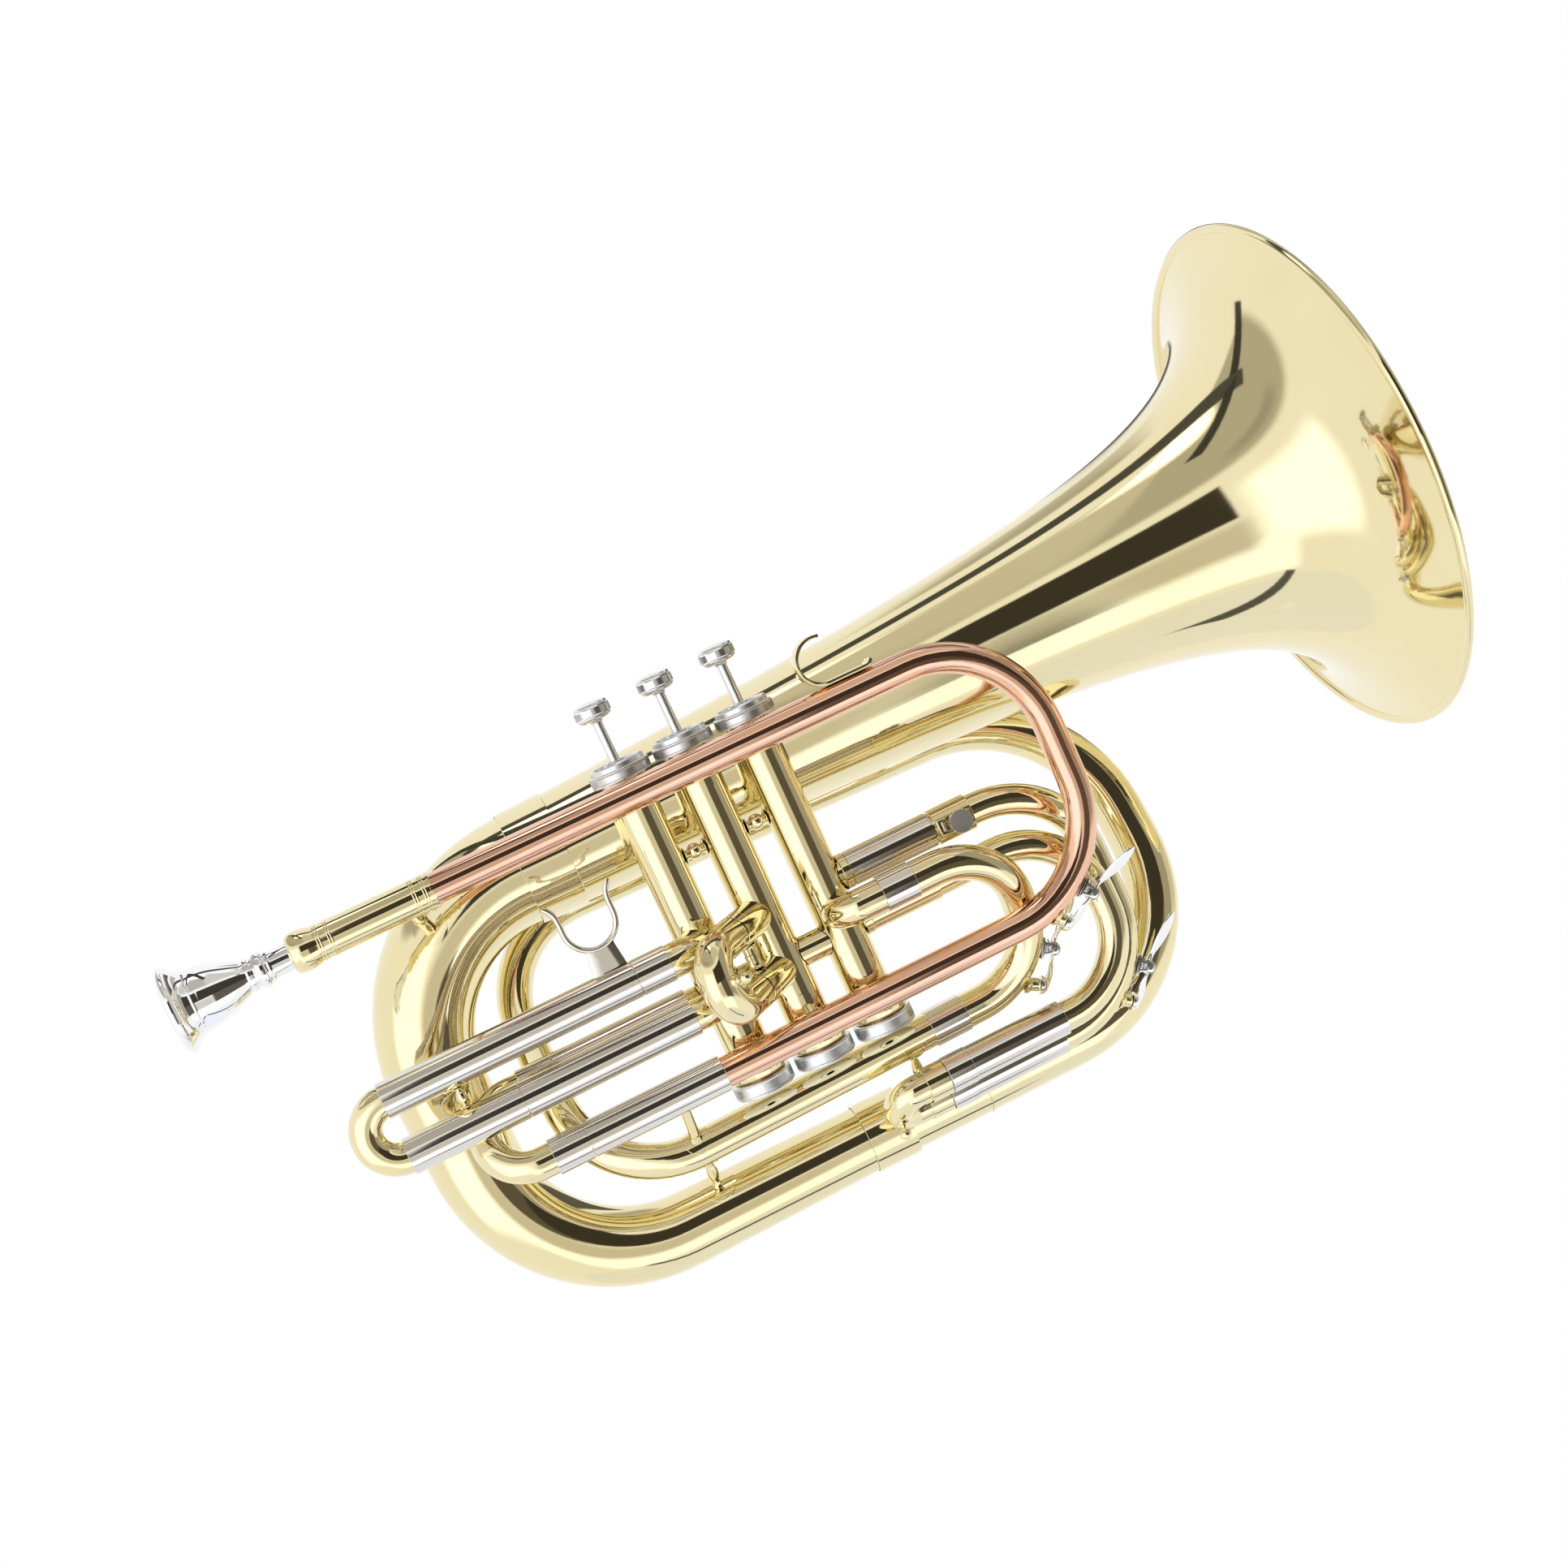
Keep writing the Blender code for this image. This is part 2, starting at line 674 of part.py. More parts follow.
def mouthpiece_profile():
    """Outside from the rim to the shank's end, then back up the bore and the cup."""
    outside = [(0.8, 0.0), (1.0, 0.0012), (1.0, 0.0036), (0.94, 0.0056), (0.75, 0.0080), (0.675, 0.0110),
               (0.675, 0.0180), (0.61, 0.0240), (0.487, 0.0285), (0.425, 0.0300)]
    shape = [(RIM_RADIUS * share, -depth) for share, depth in outside]
    collar = SHANK_RADIUS + 0.0021
    groove = SHANK_RADIUS + 0.0014
    for start in (0.0302, 0.0336):
        shape += [(collar, -start), (collar, -start - 0.0018), (groove, -start - 0.0020), (groove, -start - 0.0032)]
    shape += [(SHANK_RADIUS + 0.0002, -0.0380), (SHANK_RADIUS, -0.0520), (SHANK_END_RADIUS, -MOUTHPIECE_LENGTH)]
    bore_end = SHANK_END_RADIUS - 0.0009
    shape += [(bore_end, -MOUTHPIECE_LENGTH), (THROAT_RADIUS + 0.0002, -CUP_DEPTH - 0.0140)]
    for i in range(6):
        angle = math.pi / 2 * i / 5
        radius = THROAT_RADIUS + (CUP_RADIUS - THROAT_RADIUS) * math.sin(angle)
        shape.append((radius, -0.0012 - (CUP_DEPTH - 0.0012) * math.cos(angle)))
    return shape


def receiver_profile():
    """Outside of the receiver from its mouth to the leadpipe, then back along the bore."""
    length = RECEIVER_RIGHT_X - RECEIVER_LEFT_X
    bulb = RECEIVER_RADIUS + 0.0007
    rings = [(bulb - 0.0009, 0.0), (bulb, 0.0020), (bulb, 0.0070), (RECEIVER_RADIUS - 0.0004, 0.0092),
             (RECEIVER_RADIUS - 0.0004, 0.0100), (RECEIVER_RADIUS, 0.0104)]
    shape = [(radius, -depth) for radius, depth in rings]
    lead_bore = LEAD_RADIUS + SEAT_GAP
    shank_bore = SHANK_RADIUS + SEAT_GAP
    depth = RECEIVER_RIGHT_X - LEAD_LEFT_X + SEAT_GAP
    shape += [(RECEIVER_RADIUS, -length), (lead_bore, -length), (lead_bore, -length + depth),
              (shank_bore, -length + depth), (shank_bore, 0.0)]
    return shape


def build_mouthpipe():
    turned("mouthpiece", mouthpiece_profile(), Vector((RIM_X, LEAD_Y, LEAD_TOP_Z)), TOWARDS_PLAYER,
           SILVER_PLATE, ring=True)
    turned("receiver", receiver_profile(), Vector((RECEIVER_LEFT_X, LEAD_Y, LEAD_TOP_Z)), TOWARDS_PLAYER,
           LACQUERED_BRASS, ring=True)
    corners = [Vector((LEAD_LEFT_X, LEAD_Y, LEAD_TOP_Z)), Vector((LEAD_RIGHT_X, LEAD_Y, LEAD_TOP_Z)),
               Vector((LEAD_RIGHT_X, LEAD_Y, LEAD_LOW_Z)),
               Vector((TUNING_OUTER_RIGHT_X - LEAD_OVERLAP, LEAD_Y, LEAD_LOW_Z))]
    points = route(corners, [LEAD_BOW_RADIUS] * 2, KEY_ARC_STEP)
    tube("leadpipe", points, [LEAD_RADIUS] * len(points), ROSE_BRASS)


def build_tuning_slide():
    lower = [Vector((TUNING_OUTER_LEFT_X, LEAD_Y, LEAD_LOW_Z)), Vector((TUNING_OUTER_RIGHT_X, LEAD_Y, LEAD_LOW_Z))]
    tube("tuning_lower_outer", lower, [SLEEVE_RADIUS] * 2, NICKEL_SILVER)

    valve_x = VALVE_X[0]
    run = [Vector((TUNING_OUTER_LEFT_X, RETURN_Y, RETURN_Z)), Vector((valve_x, RETURN_Y, RETURN_Z))]
    sleeve_end = TUNING_OUTER_RIGHT_X - TUNING_OUTER_LEFT_X
    points, radii = stepped(run, TUBE_RADIUS, TUBE_RADIUS, [(0.0, sleeve_end, SLEEVE_RADIUS)])
    upper = to_mesh(tube("tuning_upper_outer", points, radii, NICKEL_SILVER), NICKEL_SILVER)
    cut(upper, casing_cutter("tuning_cutter", valve_x))

    inner_right = TUNING_OUTER_RIGHT_X - LEAD_OVERLAP - TUBE_END_GAP
    low = Vector((TUNING_BOW_X, LEAD_Y, LEAD_LOW_Z))
    high = Vector((TUNING_BOW_X, RETURN_Y, RETURN_Z))
    radius = (high - low).length / 2
    corners = [Vector((inner_right, LEAD_Y, LEAD_LOW_Z)), low, high, Vector((inner_right, RETURN_Y, RETURN_Z))]
    points = route(corners, [radius] * 2)
    full = lengths_along(points)[-1]
    near = inner_right - (TUNING_OUTER_LEFT_X - SEAT_GAP)
    far = near + TUNING_FERRULE_LENGTH
    sleeves = [(near, far, SLEEVE_RADIUS), (full - far, full - near, SLEEVE_RADIUS)]
    points, radii = stepped(points, TUBE_RADIUS, TUBE_RADIUS, sleeves)
    tube("tuning_slide_bow", points, radii, LACQUERED_BRASS)


# First valve slide

def knuckle_route(left_x, height):
    """From a slide leg at the left, round a short elbow, to the first valve's axis."""
    valve_x = VALVE_X[0]
    corner = Vector((SLIDE_1_KNUCKLE_X, SLIDE_1_Y, height))
    corners = [Vector((left_x, SLIDE_1_Y, height)), corner, Vector((valve_x, RETURN_Y - TUBE_RADIUS, height))]
    return route(corners, [SLIDE_1_KNUCKLE_RADIUS])


def build_slide_1_fixed():
    points = knuckle_route(SLIDE_1_INNER_LEFT_X, SLIDE_1_UPPER_Z)
    first = SLIDE_1_UPPER_SEAM_X - SLIDE_1_INNER_LEFT_X
    last = SLIDE_1_RIGHT_X - SLIDE_1_INNER_LEFT_X
    points, radii = stepped(points, TUBE_RADIUS, TUBE_RADIUS, [(first, last, SLEEVE_RADIUS)])
    inner = to_mesh(tube("slide_1_upper_inner", points, radii, NICKEL_SILVER), NICKEL_SILVER)
    cut(inner, casing_cutter("slide_1_upper_cutter", VALVE_X[0]))

    points = knuckle_route(SLIDE_1_LOWER_SEAM_X, SLIDE_1_LOWER_Z)
    last = SLIDE_1_RIGHT_X - SLIDE_1_LOWER_SEAM_X
    points, radii = stepped(points, TUBE_RADIUS, TUBE_RADIUS, [(0.0, last, SLEEVE_RADIUS)])
    outer = to_mesh(tube("slide_1_lower_outer", points, radii, NICKEL_SILVER), NICKEL_SILVER)
    cut(outer, casing_cutter("slide_1_lower_cutter", VALVE_X[0]))


def saddle_rod():
    """The thumb saddle's round rod: an open ring with both ends turned outwards."""
    bottom = SLIDE_1_UPPER_Z + SLEEVE_RADIUS + SADDLE_PLATE_HEIGHT
    centre_z = bottom + SADDLE_RING_RADIUS
    points = []
    for i in range(9):
        angle = math.radians(-195 + 210 * i / 8)
        points.append(Vector((SADDLE_X + SADDLE_RING_RADIUS * math.cos(angle), SLIDE_1_Y,
                              centre_z + SADDLE_RING_RADIUS * math.sin(angle))))
    flare = SADDLE_RING_RADIUS * 0.3
    top = bottom + SADDLE_HEIGHT
    points.insert(0, Vector((SADDLE_X - SADDLE_RING_RADIUS - flare, SLIDE_1_Y, top)))
    points.append(Vector((SADDLE_X + SADDLE_RING_RADIUS + flare, SLIDE_1_Y, top)))
    rod = rod_curve("saddle_rod", points, [SADDLE_ROD_RADIUS] * len(points), 2, True, None)
    return to_mesh(rod, None)


def build_slide_1_moving():
    sleeve = [Vector((SLIDE_1_FERRULE_X, SLIDE_1_Y, SLIDE_1_UPPER_Z)),
              Vector((SLIDE_1_UPPER_SEAM_X - SEAT_GAP, SLIDE_1_Y, SLIDE_1_UPPER_Z))]
    upper = to_mesh(tube("slide_1_sleeve", sleeve, [SLEEVE_RADIUS] * 2, NICKEL_SILVER), NICKEL_SILVER)
    half = Vector((SADDLE_PLATE_LENGTH / 2, SADDLE_PLATE_THICKNESS / 2, 0))
    foot = Vector((SADDLE_X, SLIDE_1_Y, SLIDE_1_UPPER_Z + weld_radius(SLEEVE_RADIUS)))
    head = Vector((SADDLE_X, SLIDE_1_Y, SLIDE_1_UPPER_Z + SLEEVE_RADIUS + SADDLE_PLATE_HEIGHT))
    plate = box("saddle_plate", foot - half, head + half)
    join(upper, plate)
    join(upper, saddle_rod())

    inner_right = SLIDE_1_RIGHT_X - SLIDE_1_LEG_GAP
    upper_start = SLIDE_1_INNER_LEFT_X - SLIDE_1_LEG_GAP
    top = Vector((SLIDE_1_BOW_X, SLIDE_1_Y, SLIDE_1_UPPER_Z))
    low = Vector((SLIDE_1_BOW_X, SLIDE_1_Y, SLIDE_1_LOWER_Z))
    radius = (top - low).length / 2
    corners = [Vector((upper_start, SLIDE_1_Y, SLIDE_1_UPPER_Z)), top, low,
               Vector((inner_right, SLIDE_1_Y, SLIDE_1_LOWER_Z))]
    points = route(corners, [radius] * 2)
    full = lengths_along(points)[-1]
    first = full - (inner_right - SLIDE_1_FERRULE_X)
    last = full - (inner_right - SLIDE_1_LOWER_SEAM_X) - SEAT_GAP
    points, radii = stepped(points, TUBE_RADIUS, TUBE_RADIUS, [(first, last, SLEEVE_RADIUS)])
    tube("slide_1_crook", points, radii, LACQUERED_BRASS)

    top_end = SLIDE_1_UPPER_Z - SLEEVE_RADIUS - SEAT_GAP
    low_end = SLIDE_1_LOWER_Z + SLEEVE_RADIUS + SEAT_GAP
    middle = Vector((SLIDE_1_BRACE_X, SLIDE_1_Y, (top_end + low_end) / 2))
    turned("slide_1_brace", flanged_profile(top_end - low_end, BALL_RADIUS, BRACE_FLANGE_THICKNESS), middle, UP,
           LACQUERED_BRASS, steps=SMALL_STEPS)


# Second valve slide

def slide_2_direction():
    angle = math.radians(SLIDE_2_ANGLE)
    return Vector((-math.cos(angle), -math.sin(angle), 0.0))


def knob(name, axis, radius, direction):
    """A small pull knob on a bow: a stem that starts inside the bow's wall and a ball."""
    start = axis + direction * radius
    sink = radius - weld_radius(radius)
    end = start + direction * (KNOB_REACH - KNOB_RADIUS)
    profile = []
    low = math.asin(math.sqrt(KNOB_RADIUS ** 2 - KNOB_STEM_RADIUS ** 2) / KNOB_RADIUS)
    reach = KNOB_REACH - KNOB_RADIUS
    for i in range(5):
        angle = math.pi / 2 - (math.pi / 2 + low) * i / 4
        profile.append((KNOB_RADIUS * math.cos(angle), KNOB_RADIUS * math.sin(angle)))
    profile[0] = (0.0, KNOB_RADIUS)
    profile += [(KNOB_STEM_RADIUS, -reach - sink), (0.0, -reach - sink)]
    return turned(name, profile, end, direction, None, steps=SMALL_STEPS)


def build_slide_2():
    ahead = slide_2_direction()
    for level, height in (("upper", SLIDE_2_UPPER_Z), ("lower", SLIDE_2_LOWER_Z)):
        ends = [UP * height, UP * height + ahead * SLIDE_2_SEAM]
        knuckle = to_mesh(tube(f"slide_2_{level}_knuckle", ends, [SLEEVE_RADIUS] * 2, LACQUERED_BRASS),
                          LACQUERED_BRASS)
        cut(knuckle, casing_cutter(f"slide_2_{level}_cutter", VALVE_X[1]))
        if level == "upper":
            top_end = height - weld_radius(SLEEVE_RADIUS)
            low_end = SLIDE_2_LOWER_Z + SLEEVE_RADIUS + SEAT_GAP
            middle = ahead * SLIDE_2_BRACE + UP * (top_end + low_end) / 2
            brace = turned("slide_2_brace", ball_brace_profile(top_end - low_end), middle, UP, None,
                           steps=SMALL_STEPS)
            join(knuckle, brace)

    top = UP * SLIDE_2_UPPER_Z + ahead * SLIDE_2_BOW
    low = UP * SLIDE_2_LOWER_Z + ahead * SLIDE_2_BOW
    radius = (top - low).length / 2
    corners = [UP * SLIDE_2_UPPER_Z + ahead * SLIDE_2_INNER_START, top, low,
               UP * SLIDE_2_LOWER_Z + ahead * SLIDE_2_INNER_START]
    points = route(corners, [radius] * 2)
    full = lengths_along(points)[-1]
    first = SLIDE_2_SEAM + SEAT_GAP - SLIDE_2_INNER_START
    points, radii = stepped(points, TUBE_RADIUS, TUBE_RADIUS, [(first, full - first, SLEEVE_RADIUS)])
    bow = to_mesh(tube("slide_2_bow", points, radii, LACQUERED_BRASS), LACQUERED_BRASS)
    join(bow, knob("slide_2_knob", (top + low) / 2, SLEEVE_RADIUS, -ahead), "MANIFOLD")


# Third valve slide

def build_slide_3_fixed():
    valve_x = VALVE_X[2]
    corners = [Vector((valve_x, 0, SLIDE_3_UPPER_Z)), Vector((SLIDE_3_OUTER_X, 0, SLIDE_3_UPPER_Z)),
               Vector((SLIDE_3_OUTER_X, 0, SLIDE_3_BACK_Z)),
               Vector((SLIDE_3_LEG_RIGHT_X - SLIDE_3_LEG_OVERLAP, 0, SLIDE_3_BACK_Z))]
    points = route(corners, [SLIDE_3_OUTER_UPPER_RADIUS, SLIDE_3_OUTER_LOWER_RADIUS], KEY_ARC_STEP)
    points = [lean_back(point) for point in points]
    first = SLIDE_3_PORT_X - valve_x
    last = SLIDE_3_PORT_END_X - valve_x
    points, radii = stepped(points, TUBE_RADIUS, TUBE_RADIUS, [(first, last, SLEEVE_RADIUS)])
    outer = to_mesh(tube("slide_3_outer_crook", points, radii, LACQUERED_BRASS), LACQUERED_BRASS)
    cut(outer, casing_cutter("slide_3_outer_cutter", valve_x))

    corners = [Vector((valve_x, SLIDE_3_LOWER_Y, SLIDE_3_LOWER_Z)),
               Vector((SLIDE_3_INNER_X, SLIDE_3_LOWER_Y, SLIDE_3_LOWER_Z)),
               Vector((SLIDE_3_INNER_X, SLIDE_3_FRONT_Y, SLIDE_3_FRONT_Z)),
               Vector((SLIDE_3_LEG_RIGHT_X - SLIDE_3_LEG_OVERLAP, SLIDE_3_FRONT_Y, SLIDE_3_FRONT_Z))]
    points = route(corners, [SLIDE_3_INNER_RADIUS] * 2)
    points, radii = stepped(points, TUBE_RADIUS, TUBE_RADIUS, [(first, last, SLEEVE_RADIUS)])
    inner = to_mesh(tube("slide_3_inner_crook", points, radii, LACQUERED_BRASS), LACQUERED_BRASS)
    cut(inner, casing_cutter("slide_3_inner_cutter", valve_x))

    for side, y, z in (("front", SLIDE_3_FRONT_Y, SLIDE_3_FRONT_Z), ("back", SLIDE_3_BACK_Y, SLIDE_3_BACK_Z)):
        ends = [Vector((SLIDE_3_SEAM_X, y, z)), Vector((SLIDE_3_LEG_RIGHT_X, y, z))]
        tube(f"slide_3_{side}_outer", ends, [SLEEVE_RADIUS] * 2, NICKEL_SILVER)


def lean_back(point):
    """Shift the outer crook's points from the valve's plane to the back leg's plane."""
    start = SLIDE_3_OUTER_X - SLIDE_3_OUTER_UPPER_RADIUS
    below = SLIDE_3_UPPER_Z - SLIDE_3_OUTER_UPPER_RADIUS
    if point.x <= start and point.z > below:
        share = 0.0
    elif point.z <= below:
        share = 1.0
    else:
        share = (SLIDE_3_UPPER_Z - point.z) / SLIDE_3_OUTER_UPPER_RADIUS
    return Vector((point.x, SLIDE_3_BACK_Y * share, point.z))


def build_slide_3_moving():
    inner_right = SLIDE_3_LEG_RIGHT_X - SLIDE_3_LEG_OVERLAP - TUBE_END_GAP
    front = Vector((SLIDE_3_BOW_X, SLIDE_3_FRONT_Y, SLIDE_3_FRONT_Z))
    back = Vector((SLIDE_3_BOW_X, SLIDE_3_BACK_Y, SLIDE_3_BACK_Z))
    radius = (front - back).length / 2
    corners = [Vector((inner_right, SLIDE_3_FRONT_Y, SLIDE_3_FRONT_Z)), front, back,
               Vector((inner_right, SLIDE_3_BACK_Y, SLIDE_3_BACK_Z))]
    points = route(corners, [radius] * 2)
    full = lengths_along(points)[-1]
    near = inner_right - SLIDE_3_SEAM_X + SEAT_GAP
    far = near + SLIDE_3_FERRULE_LENGTH
    sleeves = [(near, far, SLEEVE_RADIUS), (full - far, full - near, SLEEVE_RADIUS)]
    points, radii = stepped(points, TUBE_RADIUS, TUBE_RADIUS, sleeves)
    bow = to_mesh(tube("slide_3_bow", points, radii, LACQUERED_BRASS), LACQUERED_BRASS)
    outward = Vector((-0.25, -0.55, -0.8)).normalized()
    join(bow, knob("slide_3_knob", (front + back) / 2, TUBE_RADIUS, outward), "MANIFOLD")


def build_lyre_holder():
    back = -(TUBE_RADIUS + SEAT_GAP)
    front = back - LYRE_DEPTH
    low = Vector((LYRE_LEFT_X, front, SLIDE_3_UPPER_Z - LYRE_HEIGHT / 2))
    high = Vector((LYRE_LEFT_X + LYRE_LENGTH, back, SLIDE_3_UPPER_Z + LYRE_HEIGHT / 2))
    holder = box("lyre_holder", low, high, LACQUERED_BRASS)
    middle = (low + high) / 2
    half = Vector((LYRE_LENGTH, LYRE_SOCKET_DEPTH / 2, LYRE_SOCKET_HEIGHT / 2))
    cut(holder, box("lyre_socket", middle - half, middle + half))
    bore = LYRE_SHAFT_RADIUS + SEAT_GAP
    cut(holder, cylinder("lyre_bore", bore, middle, middle - ACROSS * LYRE_DEPTH, sides=16))

    face = LYRE_SCREW_LIFT + LYRE_SCREW_THICKNESS
    tip = -(LYRE_DEPTH / 2 - LYRE_SOCKET_DEPTH / 2) + SEAT_GAP
    profile = [(0.0, face), (LYRE_SCREW_RADIUS - 0.0004, face), (LYRE_SCREW_RADIUS, face - 0.0004),
               (LYRE_SCREW_RADIUS, LYRE_SCREW_LIFT), (LYRE_SHAFT_RADIUS, LYRE_SCREW_LIFT),
               (LYRE_SHAFT_RADIUS, tip), (0.0, tip)]
    turned("lyre_screw", profile, Vector((middle.x, front, middle.z)), -ACROSS, KNURLED_NICKEL)


# Exit tubing, branch and conical tubing

def build_exit_tubing():
    valve_x = VALVE_X[2]
    corners = [Vector((valve_x, 0, EXIT_Z)), Vector((valve_x, EXIT_Y, EXIT_Z)), Vector((EXIT_END_X, EXIT_Y, EXIT_Z))]
    points = route(corners, [EXIT_BEND])
    elbow = to_mesh(tube("exit_elbow", points, [EXIT_RADIUS] * len(points), LACQUERED_BRASS), LACQUERED_BRASS)
    cut(elbow, casing_cutter("exit_cutter", valve_x))

    corners = [Vector((J_START_X, EXIT_Y, EXIT_Z)), Vector((J_BOW_X, EXIT_Y, EXIT_Z)),
               branch_axis(J_BOW_X), branch_axis(J_END_X)]
    points = route(corners, [J_BOW_RADIUS] * 2)
    full = lengths_along(points)[-1]
    first_socket = EXIT_RADIUS + SEAT_GAP + TUBE_WALL
    last_socket = (BRANCH_RADIUS + SEAT_GAP) / math.cos(math.pi / TUBE_SIDES) + TUBE_WALL
    sleeves = [(0.0, SOCKET_LENGTH, first_socket), (full - SOCKET_LENGTH, full, last_socket)]
    points, radii = stepped(points, EXIT_RADIUS, J_END_RADIUS, sleeves)
    tube("j_bow", points, radii, LACQUERED_BRASS)

    corners = [Vector((BRANCH_START_X, BRANCH_LOW_Y, BRANCH_LOW_Z)),
               Vector((BRANCH_LEFT_X, BRANCH_LEFT_Y, BRANCH_LEFT_Z)),
               Vector((BRANCH_LEFT_X, BRANCH_TOP_LEFT_Y, BRANCH_TOP_Z)),
               Vector((BRANCH_END_X, BRANCH_END_Y, BRANCH_END_Z))]
    points = route(corners, [BRANCH_BEND] * 2, WIDE_ARC_STEP)
    points, radii = stepped(points, BRANCH_RADIUS, BRANCH_END_RADIUS)
    tube("inner_branch", points, radii, LACQUERED_BRASS)


def front_bow_corners():
    start = Vector((FRONT_BOW_START_X, BRANCH_END_Y, BRANCH_END_Z))
    before = Vector((BRANCH_LEFT_X, BRANCH_TOP_LEFT_Y, BRANCH_TOP_Z))
    run = (Vector((BRANCH_END_X, BRANCH_END_Y, BRANCH_END_Z)) - before).normalized()
    start = before + run * ((FRONT_BOW_START_X - before.x) / run.x)
    top = before + run * ((FRONT_BOW_X - before.x) / run.x)
    low = Vector((FRONT_BOW_X, FRONT_BOW_LOW_Y, FRONT_BOW_LOW_Z))
    end = Vector((BOTTOM_JOINT_X + SEAT_GAP / 2, BOTTOM_JOINT_Y, BOTTOM_JOINT_Z))
    return [start, top, low, end]


def build_front_bow():
    points = route(front_bow_corners(), [FRONT_BOW_BEND] * 2, WIDE_ARC_STEP)
    socket = BRANCH_END_RADIUS + SEAT_GAP + TUBE_WALL
    points, radii = stepped(points, FRONT_BOW_START_RADIUS, FRONT_BOW_END_RADIUS, [(0.0, SOCKET_LENGTH, socket)])
    tube("front_bow", points, radii, LACQUERED_BRASS, bevel=WIDE_BEVEL)


def back_bow_corners():
    return [Vector((BOTTOM_JOINT_X - SEAT_GAP / 2, BOTTOM_JOINT_Y, BOTTOM_JOINT_Z)),
            Vector((BACK_BOW_X, BACK_BOW_LOW_Y, BACK_BOW_LOW_Z)),
            Vector((BACK_BOW_X, BELL_Y, TAIL_JOINT_Z)),
            Vector((TAIL_JOINT_X - SEAT_GAP / 2, BELL_Y, TAIL_JOINT_Z))]


def back_bow_path():
    """The back bow's points with its radius at each, growing slowly to the first bend, then faster."""
    points = route(back_bow_corners(), [BACK_BOW_BEND] * 2, WIDE_ARC_STEP)
    marks = lengths_along(points)
    bend_start = marks[1]
    radii = []
    for mark in marks:
        if mark <= bend_start:
            share = mark / bend_start
            radii.append(BACK_BOW_START_RADIUS + (BACK_BOW_MID_RADIUS - BACK_BOW_START_RADIUS) * share)
        else:
            share = (mark - bend_start) / (marks[-1] - bend_start)
            radii.append(BACK_BOW_MID_RADIUS + (BACK_BOW_END_RADIUS - BACK_BOW_MID_RADIUS) * share)
    return points, radii


def build_back_bow():
    points, radii = back_bow_path()
    tube("back_bow", points, radii, LACQUERED_BRASS, bevel=WIDE_BEVEL)


def ferrule(name, middle, direction, near_radius, far_radius, length, steps):
    """A thin sleeve over a joint, fitted to the tube on each side of it."""
    near = near_radius + SEAT_GAP
    far = far_radius + SEAT_GAP
    half = length / 2
    profile = [(far + FERRULE_WALL, half), (near + FERRULE_WALL, -half), (near, -half), (far, half)]
    turned(name, profile, middle, direction, LACQUERED_BRASS, steps=steps, ring=True)


def bell_direction():
    rise = math.radians(BELL_RISE)
    return Vector((math.cos(rise), 0.0, math.sin(rise)))


def bell_radius(distance):
    """Outer radius at a distance back from the rim."""
    share = (distance + BELL_FLARE_OFFSET) / BELL_FLARE_OFFSET
    full = (BELL_LENGTH + BELL_FLARE_OFFSET) / BELL_FLARE_OFFSET
    power = math.log(BELL_RIM_RADIUS / BELL_TAIL_RADIUS) / math.log(full)
    return BELL_RIM_RADIUS * share ** -power


def bell_profile():
    """Outside from the rim back to the tail, then forward along the inside to the rim."""
    count = 9
    distances = [BELL_LENGTH * (i / count) ** 1.9 for i in range(count + 1)]
    outside = [(bell_radius(distance), -distance) for distance in distances]
    inside = []
    for i, (radius, height) in enumerate(outside):
        before = Vector(outside[max(i - 1, 0)])
        after = Vector(outside[min(i + 1, count)])
        run = (after - before).normalized()
        inside.append((radius + run.y * BELL_WALL, height - run.x * BELL_WALL))
    inside[0] = (outside[0][0] - BELL_WALL * 0.4, outside[0][1] + BELL_WALL)
    bead = []
    for i in range(5):
        angle = math.radians(130 - 250 * i / 4)
        bead.append((BELL_RIM_RADIUS + BELL_BEAD_RADIUS * (0.2 + math.cos(angle)),
                     BELL_WALL * 0.5 + BELL_BEAD_RADIUS * math.sin(angle)))
    return bead + outside[1:] + inside[:0:-1]


def build_bell():
    ahead = bell_direction()
    dip = BACK_BOW_END_RADIUS * ahead.z
    start = Vector((TAIL_JOINT_X + SEAT_GAP / 2 + dip, BELL_Y, TAIL_JOINT_Z))
    rim = start + ahead * BELL_LENGTH
    turned("bell", bell_profile(), rim, ahead, LACQUERED_BRASS, steps=BELL_STEPS, ring=True)
    half = TAIL_FERRULE_LENGTH / 2
    bell_end = bell_radius(BELL_LENGTH - half) + half * ahead.z
    ferrule("tail_ferrule", Vector((TAIL_JOINT_X, BELL_Y, TAIL_JOINT_Z)), ALONG_X, BACK_BOW_END_RADIUS, bell_end,
            TAIL_FERRULE_LENGTH, BELL_STEPS)
    half = BOTTOM_FERRULE_LENGTH / 2
    wide = back_bow_at(BOTTOM_JOINT_X - half)[1]
    ahead = (front_bow_corners()[2] - back_bow_corners()[1]).normalized()
    ferrule("bottom_ferrule", Vector((BOTTOM_JOINT_X, BOTTOM_JOINT_Y, BOTTOM_JOINT_Z)), ahead, wide,
            BACK_BOW_START_RADIUS, BOTTOM_FERRULE_LENGTH, BELL_STEPS)


# Braces and the finger hook

